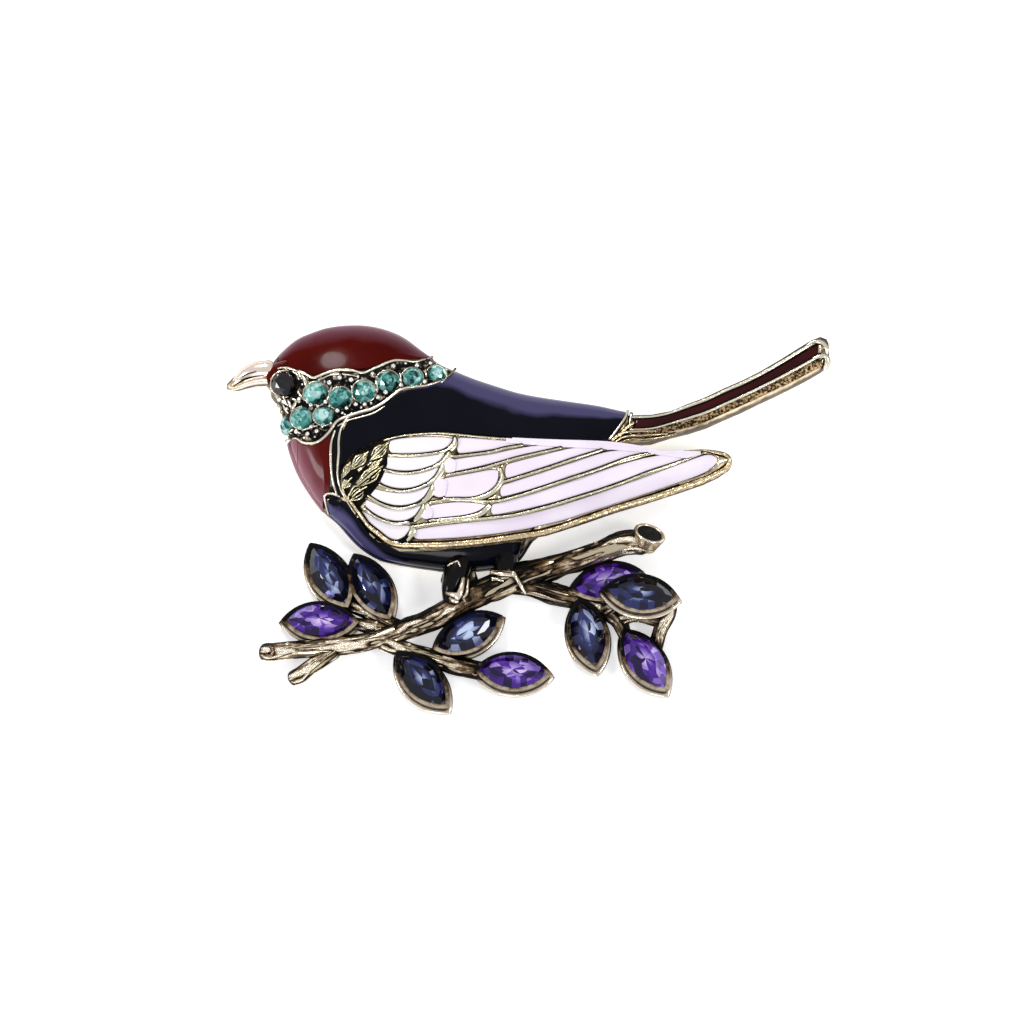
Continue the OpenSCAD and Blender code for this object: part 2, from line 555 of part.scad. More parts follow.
module claw(c, d) {
  hull() {
    translate([px(c[0]), py(c[1]), c[2]]) sphere(d = d, $fn = 5);
    translate([px(c[3]), py(c[4]), c[5]]) sphere(d = d * 0.7, $fn = 4);
  }
}

module grain() {
  translate([0, 0, -grain_d / 2])
    cylinder(d1 = grain_d, d2 = grain_d * 0.55, h = grain_d * 0.85, $fn = 5);
}

module setting() {
  out = 2 * setting_wall;
  w = leaf_w + out;
  l = leaf_len + out * 1.5;
  seat = setting_h - leaf_w * pavilion_share - stone_gap;
  hole_l = leaf_len + 2 * stone_gap;
  hole_w = leaf_w + 2 * stone_gap;
  difference() {
    skin([
      leaf_ring(l * 0.9, w * 0.86, 0),
      leaf_ring(l, w, setting_h + 0.15),
    ]);
    skin([
      leaf_ring(hole_l, hole_w, setting_h - 0.1 - stone_gap),
      leaf_ring(hole_l, hole_w, setting_h + 1),
    ], [0, 0, seat]);
  }
}

// A stem from a twig to the middle of the setting's base
module stem(f, s) {
  hull() {
    translate([px(f[0]), py(f[1]), f[3] + stem_d / 2]) sphere(d = stem_d, $fn = 6);
    translate([px(s[0]), py(s[1]), s[2]]) sphere(d = stem_d, $fn = 6);
  }
}

module casting() {
  color(gold)
    difference() {
      union() {
        bird_body();
        wing();
        tail();
        beak();
        rod(BRANCH, branch_d, 10);
        for (t = TWIGS) rod(t, twig_d, 7);
        for (f = LEAVES) on_leaf(f) setting();
        for (i = [0:len(LEAVES) - 1]) stem(LEAVES[i], STEMS[i]);
        for (b = BARBS) barb(b);
        for (c = CLAWS) claw(c, leg_d * 0.55);
        for (l = LEGS) {
          claw(l, leg_d * l[6] / 100);
          translate([px(l[0]), py(l[1]), rim_z - rim_h / 2])
            cylinder(d = leg_d * 2, h = rim_h * 1.5, $fn = 10);
        }
        for (g = GRAINS) on_body(g[0], g[1]) grain();
        translate([px(EYE[0]), py(EYE[1]), rim_z])
          cylinder(d = eye_d + 2 * eye_wall + 2 * stone_gap, h = EYE[2] - rim_z, $fn = 16);
        for (x = [PIN[0], PIN[1]])
          translate([px(x) - pin_block / 2, py(PIN[2]) - pin_block / 2, pin_block_h + pin_gap])
            cube([pin_block, pin_block, 2]);
        aim([px(HOLLOW[0]), py(HOLLOW[1]), HOLLOW[2]], HOLLOW_DIR)
          cylinder(d1 = branch_d * 1.3, d2 = hollow_d + 2 * hollow_wall, h = 1.9, $fn = 14);
      }
      for (t = TEAL)
        on_body(t[0], t[1])
          translate([0, 0, -t[2] * pavilion_share - stone_gap])
            cylinder(d = t[2] + 2 * stone_gap, h = 4, $fn = ROUND_SIDES);
      translate([px(EYE[0]), py(EYE[1]), EYE[2] - eye_d * pavilion_share - stone_gap])
        cylinder(d = eye_d + 2 * stone_gap, h = 4, $fn = ROUND_SIDES);
      aim([px(HOLLOW[0]), py(HOLLOW[1]), HOLLOW[2]], HOLLOW_DIR)
        translate([0, 0, 0.5])
          cylinder(d = hollow_d, h = 3, $fn = 14);
    }
}

module pin() {
  color(gold) {
    for (x = [PIN[0], PIN[1]])
      translate([px(x) - pin_block / 2, py(PIN[2]) - pin_block / 2, 0])
        cube([pin_block, pin_block, pin_block_h]);
    translate([px(PIN[0]), py(PIN[2]), pin_block_h / 2])
      rotate([0, 90, 0])
        cylinder(d = pin_d, h = px(PIN[1]) - px(PIN[0]) + pin_block, $fn = 24);
  }
}

casting();
color(oxblood) body_enamel(crown_rows);  // crown_enamel
color(oxblood) body_enamel(breast_rows);  // breast_enamel
color(navy) body_enamel(back_rows);  // back_enamel
color(navy) body_enamel(belly_rows);  // belly_enamel
color(oxblood) tail_enamel();
for (i = [1:len(SHORT)])
  color(blush) wing_enamel(short_rows(SHORT[i - 1]));
for (i = [1:len(LONG)])
  color(blush) wing_enamel(long_rows(LONG[i - 1]));
color(jet) translate([px(EYE[0]), py(EYE[1]), EYE[2]]) round_stone(eye_d);  // eye_stone
for (i = [1:len(TEAL)])
  color(teal) on_body(TEAL[i - 1][0], TEAL[i - 1][1]) round_stone(TEAL[i - 1][2]);
for (i = [1:len(LEAVES)])
  color(LEAVES[i - 1][4] == "blue" ? sapphire : amethyst)
      on_leaf(LEAVES[i - 1]) translate([0, 0, setting_h]) leaf_stone();
pin();
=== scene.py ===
import bpy
import bmesh
import math
import random
from mathutils import Matrix, Vector, noise
from mathutils.bvhtree import BVHTree


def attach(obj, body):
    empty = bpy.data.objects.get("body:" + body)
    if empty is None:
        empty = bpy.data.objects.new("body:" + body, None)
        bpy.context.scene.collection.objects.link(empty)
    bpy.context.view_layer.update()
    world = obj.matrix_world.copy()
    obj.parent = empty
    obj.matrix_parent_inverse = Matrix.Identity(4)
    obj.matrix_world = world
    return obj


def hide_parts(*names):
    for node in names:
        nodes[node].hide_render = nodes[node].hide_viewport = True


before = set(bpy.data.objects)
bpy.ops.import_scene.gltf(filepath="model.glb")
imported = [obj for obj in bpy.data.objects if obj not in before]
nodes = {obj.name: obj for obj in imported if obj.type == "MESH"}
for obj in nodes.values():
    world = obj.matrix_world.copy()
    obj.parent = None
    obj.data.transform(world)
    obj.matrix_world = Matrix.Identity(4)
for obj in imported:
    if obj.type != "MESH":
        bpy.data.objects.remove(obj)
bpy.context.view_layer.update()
chance = random.Random(8263)

# Pieces are worked in millimetres and set down in metres.
# A plan place is a pair of hundredths of the brooch's width.
MM = 0.001
STEP = 0.7
MIDDLE = (50, 32.46)
# How the photograph shows the brooch: slope, scale, middle column, low row and where that row lies
LOOK_UP = math.radians(75)
PHOTO_MM = 0.115
PHOTO_COL = 528
PHOTO_ROW = 710
PHOTO_LOW = 22.72
# Painted light: metal faces turned this way are painted bright and faces turned away are painted dark
LIGHT_SIDE = (-0.1, -0.42, 0.9)
UP = Vector((0, 0, 1))


def px(x):
    return (x - MIDDLE[0]) * STEP


def py(y):
    return (y - MIDDLE[1]) * STEP


# The casting and the enamels as one surface, asked for its height from above
def surface_of(names):
    verts, faces = [], []
    for name in names:
        mesh = nodes[name].data
        first = len(verts)
        verts += [v.co.copy() for v in mesh.vertices]
        faces += [[first + i for i in p.vertices] for p in mesh.polygons]
    return BVHTree.FromPolygons(verts, faces)


ENAMELS = [n for n in nodes if n.endswith("_enamel") or "feather" in n]
SURFACE = surface_of(["casting"] + ENAMELS)


def drop(x, y):
    hit = SURFACE.ray_cast(Vector((x * MM, y * MM, 0.02)), Vector((0, 0, -1)))
    return hit[0].z / MM if hit[0] else 0.0


# The highest of five near places, so that a thin gap doesn't count
def height_at(x, y, reach=0.2):
    around = ((0, 0), (reach, 0), (-reach, 0), (0, reach), (0, -reach))
    return max(drop(x + dx, y + dy) for dx, dy in around)


# A place in the photograph at a known height
def seen_at(col, row, z):
    y = ((PHOTO_ROW - row) * PHOTO_MM - z * math.cos(LOOK_UP)) / math.sin(LOOK_UP) - PHOTO_LOW
    return (col - PHOTO_COL) * PHOTO_MM, y, z


# A place in the photograph, set down on the brooch by coming closer step by step
def spot(col, row, lift=0.0):
    z = 3.0
    for _ in range(8):
        x, y, _ = seen_at(col, row, z)
        z = 0.5 * z + 0.5 * height_at(x, y, 0.1)
    return Vector((x, y, z + lift))


# Finishes: each is a small set of nodes built with these helpers
class Finish:
    def __init__(self, name):
        self.material = bpy.data.materials.new(name)
        self.material.use_nodes = True
        self.tree = self.material.node_tree
        self.shader = self.tree.nodes["Principled BSDF"]
        self.place = self.add("TexCoord").outputs

    # A socket takes a number, a colour or what another node gives
    def feed(self, node, sockets):
        for key, value in sockets.items():
            if isinstance(value, bpy.types.NodeSocket):
                self.tree.links.new(value, node.inputs[key])
            else:
                node.inputs[key].default_value = value

    def add(self, kind, sockets=None, **settings):
        node = self.tree.nodes.new("ShaderNode" + kind)
        for key, value in settings.items():
            setattr(node, key, value)
        self.feed(node, sockets or {})
        return node

    def shade(self, sockets):
        self.feed(self.shader, sockets)
        return self.material

    def noise(self, scale, detail=3, rough=0.55, place=None):
        sockets = {"Vector": place or self.place["Object"], "Scale": scale, "Detail": detail, "Roughness": rough}
        return self.add("TexNoise", sockets).outputs["Fac"]

    def ramp(self, value, *stops):
        node = self.add("ValToRGB", {"Fac": value})
        elements = node.color_ramp.elements
        while len(elements) < len(stops):
            elements.new(0.5)
        for element, (place, colour) in zip(elements, stops):
            element.position = place
            element.color = (*colour, 1)
        return node.outputs["Color"]

    def levels(self, value, low, high, out_low=0.0, out_high=1.0):
        sockets = {"Value": value, "From Min": low, "From Max": high, "To Min": out_low, "To Max": out_high}
        return self.add("MapRange", sockets).outputs["Result"]

    def math(self, kind, a, b):
        return self.add("Math", {0: a, 1: b}, operation=kind).outputs["Value"]

    def times(self, a, b):
        return self.math("MULTIPLY", a, b)

    def plus(self, a, b):
        return self.math("ADD", a, b)

    # A noise between 0 and 1 as a swing to either side of nothing
    def swing(self, value, size):
        return self.times(self.math("SUBTRACT", value, 0.5), size)

    # The colours of a mix are its seventh and eighth sockets
    def mix(self, share, a, b):
        return self.add("Mix", {0: share, 6: a, 7: b}, data_type="RGBA").outputs[2]

    def attribute(self, name, output):
        return self.add("Attribute", attribute_name=name).outputs[output]

    def facing(self, direction):
        sockets = {0: self.place["Normal"], 1: Vector(direction).normalized()}
        return self.add("VectorMath", sockets, operation="DOT_PRODUCT").outputs["Value"]

    def openness(self, reach):
        node = self.add("AmbientOcclusion", {"Distance": reach}, samples=8)
        return self.levels(node.outputs["AO"], 0.35, 0.92)

    # Painted light: how bright a face is painted for being turned toward the light side; faces turned down to the
    # back are painted bright as well
    def painted_light(self, low, high):
        back = self.times(self.facing((0, 0, -1)), 0.8)
        return self.levels(self.math("MAXIMUM", self.facing(LIGHT_SIDE), back), low, high)

    def bump(self, value, depth):
        return self.add("Bump", {"Height": value, "Distance": depth}).outputs["Normal"]


def srgb(values):
    return tuple(v / 255 / 12.92 if v <= 10.3 else ((v / 255 + 0.055) / 1.055) ** 2.4 for v in values)


def stops_of(places, colours):
    return [(place, srgb(colour)) for place, colour in zip(places, colours)]


# Pale gold with dark patina in every recess, and painted light on top: bright on faces turned toward the light,
# dark on those turned away
def antique(name, bright, middle, dark, reach, lit=(0.3, 0.9), speckle=0.7, grain=1100, depth=0.00005,
            gloss=(0.2, 0.42), metal=0.85, painted_one_side=False):
    f = Finish(name)
    worn = f.noise(grain, 4, 0.6)
    blotch = f.noise(grain * 0.25, 3, 0.5)
    # Patina in the recesses times painted light from one side
    wear_and_light = f.times(f.openness(reach), f.plus(f.times(f.painted_light(*lit), 0.85), 0.15))
    # Painted shade on the side of a leaf cup away from the light
    if painted_one_side:
        wear_and_light = f.times(wear_and_light, f.levels(f.attribute("painted_lit_side", "Fac"), 0.3, 0.7, 0.12, 1))
    wear_and_light = f.plus(wear_and_light, f.swing(worn, speckle))
    wear_and_light = f.plus(wear_and_light, f.swing(blotch, 0.4))
    return f.shade({
        "Base Color": f.ramp(wear_and_light, *stops_of((0.24, 0.52, 0.86), (dark, middle, bright))),
        "Roughness": f.levels(wear_and_light, 0.2, 0.8, gloss[1], gloss[0]), "Metallic": metal,
        "Normal": f.bump(f.plus(worn, f.times(blotch, 0.6)), depth),
    })


# Blackened metal with a few worn flecks
def blackened(name, base, fleck, share, grain=1500):
    f = Finish(name)
    worn = f.noise(grain, 4, 0.65)
    return f.shade({
        "Base Color": f.ramp(worn, *stops_of((share, share + 0.12), (base, fleck))),
        "Roughness": f.levels(worn, 0.3, 0.7, 0.49, 0.35), "Metallic": 0.8, "Specular IOR Level": 0.3,
        "Normal": f.bump(worn, 0.00006),
    })


# Bark: bright on its ridges and black in its grooves, with painted light on top: dark on the side turned away from
# the light
def bark_metal(name, bright, middle, dark):
    f = Finish(name)
    drawn_out = f.add("Mapping", {"Vector": f.place["UV"], "Scale": (34, 7, 1)}).outputs["Vector"]
    streaks = f.noise(1, 5, 0.75, drawn_out)
    height = f.plus(f.times(f.attribute("ridge", "Fac"), 0.6), f.times(streaks, 0.55))
    wear_and_light = f.times(f.levels(height, 0.5, 0.76), f.painted_light(0.5, 0.92))
    wear_and_light = f.times(wear_and_light, f.openness(0.0009))
    # Painted shade: the branch is painted darker under the bird
    along = f.add("SeparateXYZ", {0: f.place["Object"]}).outputs["X"]
    out_of_shade, in_shade = (1, 1, 1), (0.42, 0.42, 0.42)
    bird_shade = f.ramp(f.levels(along, -0.035, 0.035), (0.34, out_of_shade), (0.41, in_shade), (0.54, in_shade), (0.62, out_of_shade))
    wear_and_light = f.plus(f.times(wear_and_light, bird_shade), f.swing(f.noise(1300, 3, 0.6), 0.5))
    return f.shade({
        "Base Color": f.ramp(wear_and_light, *stops_of((0.18, 0.4, 0.68), (dark, middle, bright))),
        "Roughness": f.levels(wear_and_light, 0.1, 0.7, 0.5, 0.24), "Metallic": 0.85,
        "Normal": f.bump(height, 0.0003),
    })


# Fired enamel: deep in the middle; where it rolls away to one side a painted sheen is mixed into the colour, a
# painted reflection that is paler on the dark enamels and a faint lilac on the pale ones
def enamel(name, base, patch, sheen, sheen_share, side, edge, shine=0.12):
    f = Finish(name)
    painted_sheen_mask = f.levels(f.plus(f.facing(side), f.swing(f.noise(260, 2, 0.5), 0.14)), *edge)
    body = f.ramp(f.noise(180, 2, 0.4), *stops_of((0.35, 0.68), (base, patch)))
    return f.shade({
        "Base Color": f.mix(f.times(painted_sheen_mask, sheen_share), body, (*srgb(sheen), 1)),
        "Roughness": f.levels(f.noise(1100, 3), 0.3, 0.7, 0.12, 0.192),
        "Coat Weight": shine, "Coat Roughness": 0.05, "Specular IOR Level": shine,
        "Normal": f.bump(f.noise(300, 2), 0.00003),
    })


# Foiled glass with its light painted in: each facet has its own painted brightness for the light it catches, the
# facets under it show as painted wedges round the middle, and a painted highlight sits near the middle
def cut_glass(name, dark, body, light, stops, wedges, glint_share, cell_share, highlight_share, foil):
    f = Finish(name)
    u, v, deal = f.add("SeparateXYZ", {0: f.attribute("stone_place", "Vector")}).outputs
    turn = f.math("ARCTAN2", v, u)
    out = f.math("SQRT", f.plus(f.times(u, u), f.times(v, v)), 0.0)
    polar = f.add("CombineXYZ", {0: f.times(turn, wedges / 6.28), 1: f.times(out, 2.4), 2: deal}).outputs[0]
    cells = f.add("TexVoronoi", {"Vector": polar, "Scale": 1.0, "Randomness": 0.75})
    grey = f.add("RGBToBW", {"Color": cells.outputs["Color"]}).outputs["Val"]
    painted_highlight = f.times(f.levels(out, 0.7, 0.1, 0, highlight_share), grey)
    value = f.plus(f.times(f.attribute("facet_glint", "Fac"), glint_share), f.times(grey, cell_share))
    value = f.plus(value, painted_highlight)
    return f.shade({
        "Base Color": f.ramp(value, *stops_of(stops, (dark, body, light))),
        "Roughness": f.levels(value, 0.2, 0.8, 0.05, 0.14),
        "Metallic": foil, "Coat Weight": 0.5, "Coat Roughness": 0.02,
    })


gold = antique("antique_gold", (232, 216, 184), (146, 120, 80), (24, 16, 9), 0.0008)
wire_gold = antique("worn_and_lit_gold", (252, 244, 222), (186, 162, 120), (34, 24, 14), 0.0003, (0.35, 0.82), 0.75,
                    gloss=(0.2, 0.34))
line_gold = antique("line_gold", (244, 236, 208), (164, 148, 108), (30, 24, 16), 0.0003, (0.45, 0.9), 1.1, 1500)
rim_gold = antique("brown_rim_gold", (232, 210, 168), (146, 114, 74), (28, 18, 9), 0.0004, (0.3, 0.95), 1.2,
                   1700, 0.00009)
crescent_gold = antique("crescent_gold", (246, 240, 208), (196, 180, 130), (40, 30, 18), 0.0003, (0.3, 0.85),
                        0.8, 1500)
cup_gold = antique("cup_gold", (250, 236, 216), (188, 162, 128), (14, 9, 6), 0.0005, (0.4, 0.85), 0.5)
tray_gold = antique("tray_gold", (250, 236, 216), (188, 162, 128), (12, 8, 6), 0.0005, (0.3, 0.8), 0.6,
                    painted_one_side=True)
wall_gold = antique("wall_gold", (236, 216, 186), (118, 94, 68), (8, 7, 7), 0.0003, (0.72, 1.0), 1.1, 1300,
                    painted_one_side=True)
beak_gold = antique("beak_gold", (248, 230, 216), (216, 188, 160), (116, 90, 62), 0.0005, (-0.1, 0.7), 0.25, 800,
                    metal=0.6)
lip_gold = antique("lip_gold", (250, 238, 214), (196, 172, 134), (64, 48, 32), 0.0004, (-0.1, 0.6), 0.5)
tuft_gold = antique("tuft_gold", (244, 236, 196), (166, 146, 96), (26, 20, 12), 0.0003, (0.45, 0.95), 1.3,
                    1900, 0.00008)
bark_gold = bark_metal("bark_gold", (252, 240, 216), (128, 102, 72), (12, 8, 6))
patina_and_shade_black = blackened("black_patina_and_shade", (7, 6, 6), (96, 80, 58), 0.62)
band_black = blackened("blackened_band", (9, 8, 8), (168, 150, 132), 0.54)
tail_brown = blackened("speckled_brown", (30, 20, 13), (176, 146, 104), 0.47, 3200)
bead_silver = antique("silver_bead", (252, 250, 244), (206, 198, 182), (60, 50, 42), 0.0003, (0.2, 0.8), 0.3)
pit_brown = antique("pit_brown", (150, 124, 100), (84, 64, 50), (24, 16, 10), 0.0005)
crown_red = enamel("oxblood_crown", (70, 9, 5), (82, 13, 8), (142, 106, 122), 0.8, (-0.1, 1, 0.1), (0.44, 0.92),
                   0.035)
breast_red = enamel("oxblood_breast", (76, 10, 7), (90, 18, 12), (160, 108, 120), 0.8, (-1, 0, 0), (0.3, 0.85),
                    0.08)
edge_red = enamel("oxblood_edge", (84, 16, 14), (96, 24, 20), (168, 124, 138), 0.8, (-0.7, -0.3, 0.6),
                  (0.2, 0.85), 0.08)
navy = enamel("navy_enamel", (5, 5, 15), (8, 8, 20), (80, 76, 116), 0.75, (0.1, 1, 0), (0.3, 0.4), 0.09)
belly_navy = enamel("belly_enamel", (5, 5, 14), (8, 8, 18), (84, 80, 126), 0.8, (-0.8, -0.5, 0), (0.62, 0.75),
                    0.09)
leg_black = enamel("leg_black", (7, 6, 8), (13, 11, 12), (70, 62, 66), 0.5, (-0.4, -0.6, 0.2), (0.8, 0.95))
maroon = enamel("maroon_enamel", (46, 7, 8), (60, 12, 12), (128, 80, 84), 0.4, (0, 1, 0.3), (0.5, 0.9))
blush = enamel("blush_enamel", (238, 225, 240), (246, 237, 247), (222, 208, 232), 0.4, (0, -1, 0), (0.2, 0.8), 0.4)
ivory = enamel("ivory_enamel", (244, 236, 244), (250, 245, 248), (230, 220, 232), 0.4, (0, -1, 0), (0.2, 0.8), 0.4)
jet = cut_glass("jet_stone", (4, 4, 6), (12, 12, 15), (60, 62, 72), (0.2, 0.5, 0.9), 8, 0.7, 0.2, 0.1, 0.2)
teal = cut_glass("teal_stone", (8, 40, 42), (66, 160, 150), (206, 244, 238), (0.26, 0.54, 0.88), 8, 0.5, 0.5,
                 0.35, 0.4)
blue = cut_glass("blue_stone", (7, 8, 22), (46, 54, 112), (206, 220, 252), (0.36, 0.64, 0.96), 6, 0.5, 0.42,
                 0.62, 0.35)
purple = cut_glass("purple_stone", (26, 6, 60), (92, 42, 176), (230, 204, 255), (0.35, 0.66, 1.0), 10, 0.38,
                   0.62, 0.5, 0.35)


# What every piece goes through: one piece active, the rest left alone
def take(piece):
    bpy.ops.object.select_all(action="DESELECT")
    piece.select_set(True)
    bpy.context.view_layer.objects.active = piece


def edit(piece):
    take(piece)
    bpy.ops.object.mode_set(mode="EDIT")
    bpy.ops.mesh.select_all(action="SELECT")


def done():
    bpy.ops.object.mode_set(mode="OBJECT")


def smooth(piece, degrees):
    take(piece)
    bpy.ops.object.shade_smooth_by_angle(angle=math.radians(degrees))
    return piece


def apply(piece, kind, **settings):
    take(piece)
    modifier = piece.modifiers.new(kind.title(), kind)
    for key, value in settings.items():
        setattr(modifier, key, value)
    bpy.ops.object.modifier_apply(modifier=modifier.name)


def in_scene(name, data):
    piece = bpy.data.objects.new(name, data)
    bpy.context.scene.collection.objects.link(piece)
    return piece


# A primitive is made with nothing selected
def added(primitive, **shape):
    bpy.ops.object.select_all(action="DESELECT")
    primitive(**shape)
    return bpy.context.object


def disc(count, radius=1):
    return added(bpy.ops.mesh.primitive_circle_add, vertices=count, radius=radius, fill_type="NGON")


def ring(radius, thick, segments, lift=0):
    return added(bpy.ops.mesh.primitive_torus_add, major_radius=radius, minor_radius=thick,
                 major_segments=segments, minor_segments=8, location=(0, 0, lift))


def finished(piece, material, slot, *stands_for):
    piece.data.materials.clear()
    piece.data.materials.append(material)
    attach(piece, "root")
    if stands_for:
        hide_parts(*stands_for)
    return piece


# Parts joined into one named piece
def one_piece(name, parts, material, slot="antique_gold", degrees=None):
    piece = parts[0]
    take(piece)
    for part in parts[1:]:
        part.select_set(True)
    if len(parts) > 1:
        bpy.ops.object.join()
    piece.name = name
    piece.data.name = name
    if degrees:
        smooth(piece, degrees)
    return finished(piece, material, slot)


# A piece worked in millimetres at the origin goes to its place, its place in its mesh
def set_down(piece, matrix):
    bpy.context.view_layer.update()
    piece.data.transform(Matrix.Scale(MM, 4) @ matrix @ piece.matrix_world)
    piece.matrix_world = Matrix.Identity(4)
    return piece


def copy_to(pattern, name, matrix):
    return set_down(in_scene(name, pattern.data.copy()), matrix)


def facing(direction):
    return Vector(direction).to_track_quat("Z", "X").to_matrix().to_4x4()


# A copy of a CAD node, its doubled corners merged
def copy_of(node, name):
    piece = in_scene(name, nodes[node].data.copy())
    edit(piece)
    bpy.ops.mesh.remove_doubles(threshold=0.000002)
    done()
    return piece


# The casting is shaded as one smooth metal surface
def cast_shell():
    finished(smooth(copy_of("casting", "metal_shell"), 38), gold, "antique_gold", "casting")


# An enamel field with a poured surface: creased along its walls, then subdivided
def poured(node, material, slot):
    piece = copy_of(node, "poured_" + node)
    edit(piece)
    bpy.ops.mesh.tris_convert_to_quads(face_threshold=math.radians(35), shape_threshold=math.radians(60))
    bpy.ops.mesh.select_all(action="DESELECT")
    bpy.ops.mesh.select_mode(type="EDGE")
    bpy.ops.mesh.edges_select_sharp(sharpness=math.radians(40))
    bpy.ops.transform.edge_crease(value=0.7)
    bpy.ops.mesh.select_mode(type="VERT")
    done()
    apply(piece, "SUBSURF", levels=2, render_levels=2)
    finished(smooth(piece, 60), material, slot, node)


FIELDS = {
    "crown_enamel": (crown_red, "red_enamel"), "breast_enamel": (breast_red, "red_enamel"),
    "back_enamel": (navy, "navy_enamel"), "belly_enamel": (belly_navy, "navy_enamel"),
    "tail_enamel": (maroon, "maroon_enamel"),
}


def enamel_fields():
    for node in ENAMELS:
        feather = (ivory if "short" in node else blush, "pale_enamel")
        poured(node, *FIELDS.get(node, feather))


# A rounded path through placed points of (x, y, z, radius)
def rounded(points, step):
    rows = [Vector(p) for p in points]
    ends = [rows[0] * 2 - rows[1]] + rows + [rows[-1] * 2 - rows[-2]]
    out = []
    for i in range(1, len(ends) - 2):
        a, b, c, d = ends[i - 1:i + 3]
        n = max(1, round((c.xyz - b.xyz).length / step))
        for k in range(n):
            t = k / n
            bend = (2 * a - 5 * b + 4 * c - d) * t * t
            out.append(0.5 * (2 * b + (c - a) * t + bend + (3 * b - a - 3 * c + d) * t ** 3))
    return out + [rows[-1]]


def plan_path(rows, step):
    return rounded([(px(x), py(y), z, r) for x, y, z, r in rows], step)


# A ring of the closed end of a tube, further out and thinner
def end_ring(ring, way, share):
    centre, along, side, lift, radius, travel = ring
    thin = max(math.sqrt(1 - (share / 0.7) ** 2), 0.15)
    return centre + along * radius * share * way, along, side, lift, radius * thin, travel + radius * share * way


# A limb or wire along a path, its ends closed in a round, unwrapped along its length
def tube(path, sides=12, relief=None, flat=1.0):
    rings = []
    travel = 0.0
    for i, p in enumerate(path):
        along = (path[min(i + 1, len(path) - 1)].xyz - path[max(i - 1, 0)].xyz).normalized()
        side = along.cross(UP)
        side = side.normalized() if side.length > 0.05 else Vector((1, 0, 0))
        if i:
            travel += (p.xyz - path[i - 1].xyz).length
        rings.append((p.xyz, along, side, side.cross(along).normalized(), p.w, travel))
    first, last = rings[0], rings[-1]
    for share in (0.35, 0.55, 0.68):
        rings.insert(0, end_ring(first, -1, share))
        rings.append(end_ring(last, 1, share))
    build = bmesh.new()
    unwrap = build.loops.layers.uv.new("UVMap")
    ridge = build.verts.layers.float.new("ridge")
    made = []
    for centre, along, side, lift, radius, travel in rings:
        verts = []
        for k in range(sides):
            turn = 2 * math.pi * k / sides - math.pi / 2
            grow = relief(turn, travel) if relief else 1.0
            out = side * math.cos(turn) + lift * math.sin(turn) * flat
            vert = build.verts.new((centre + out * radius * grow) * MM)
            vert[ridge] = (grow - 0.75) / 0.5
            verts.append(vert)
        made.append(verts)
    for i in range(len(made) - 1):
        for k in range(sides):
            j = (k + 1) % sides
            face = build.faces.new((made[i][k], made[i][j], made[i + 1][j], made[i + 1][k]))
            for loop, (u, v) in zip(face.loops, ((k, i), (k + 1, i), (k + 1, i + 1), (k, i + 1))):
                loop[unwrap].uv = (u / sides, rings[v][5] / 10)
    build.faces.new(list(reversed(made[0])))
    build.faces.new(made[-1])
    bmesh.ops.recalc_face_normals(build, faces=build.faces)
    mesh = bpy.data.meshes.new("tube")
    build.to_mesh(mesh)
    build.free()
    return smooth(in_scene("tube", mesh), 60)


# A rod through places of the photograph, each with its height and radius in millimetres
def photo_rod(rows, sides=12):
    return tube(rounded([(*seen_at(col, row, z), r) for col, row, z, r in rows], 0.2), sides)


# A soldered wire that follows the surface under it; sink is how deep it sits, as a share of its radius
def wire(points, flat=0.8, sink=0.35, sides=8, step=0.35):
    path = rounded([(x, y, 0, thick / 2) for x, y, thick in points], step)
    heights = [height_at(p.x, p.y) for p in path]
    out = []
    for i, p in enumerate(path):
        near = heights[max(0, i - 2):i + 3]
        out.append(Vector((p.x, p.y, sum(near) / len(near) + p.w * flat * (1 - 2 * sink), p.w)))
    return tube(out, sides, flat=flat)


# Thicknesses are dealt out evenly over the points of a line
def with_thickness(points, thick):
    return [(x, y, thick[i * len(thick) // len(points)]) for i, (x, y) in enumerate(points)]


def plan_points(points):
    return [(px(x), py(y)) for x, y in points]


def plan_wire(points, thick, **how):
    return wire(with_thickness(plan_points(points), thick), **how)


def photo_wire(places, thick, **how):
    return wire(with_thickness([tuple(spot(col, row).xy) for col, row in places], thick), **how)


# A bright wire and a dark bed a little wider under it, shifted to one side: partly black patina in the groove,
# partly painted shade beside the raised wire
def lined(points, thick, wires, shade_beds, margin=0.5, shift=0.06, **how):
    rows = with_thickness(plan_points(points), thick)
    wires.append(wire(rows, **how))
    shade_bed = [(x, y + shift, t * (1 + margin)) for x, y, t in rows]
    shade_beds.append(wire(shade_bed, flat=0.3, sink=0.5, sides=6, step=0.5))


# A thin field laid on the surface; each row is a plan x with a low and a high y
def laid_sheet(name, rows, across, lift, thick, material, slot, reach=0.1):
    last = len(rows) - 1
    piece = added(bpy.ops.mesh.primitive_grid_add, x_subdivisions=last, y_subdivisions=across, size=2)
    piece.name = name
    for v in piece.data.vertices:
        x, low, high = rows[round((v.co.x + 1) / 2 * last)]
        y = py(low + (high - low) * ((v.co.y + 1) / 2))
        v.co = Vector((px(x), y, height_at(px(x), y, reach) + lift)) * MM
    apply(piece, "SOLIDIFY", thickness=thick * MM, offset=-1)
    finished(smooth(piece, 40), material, slot)


def along_table(table, x):
    for (x0, y0), (x1, y1) in zip(table, table[1:]):
        if x <= x1:
            return y0 + (y1 - y0) * max(0, (x - x0) / (x1 - x0))
    return table[-1][1]


# Rows of a sheet between two tables, at even steps
def rows_between(start, end, count, low, high):
    xs = [start + (end - start) * k / count for k in range(count + 1)]
    return [(x, along_table(low, x), max(along_table(high, x), along_table(low, x) + 0.1)) for x in xs]


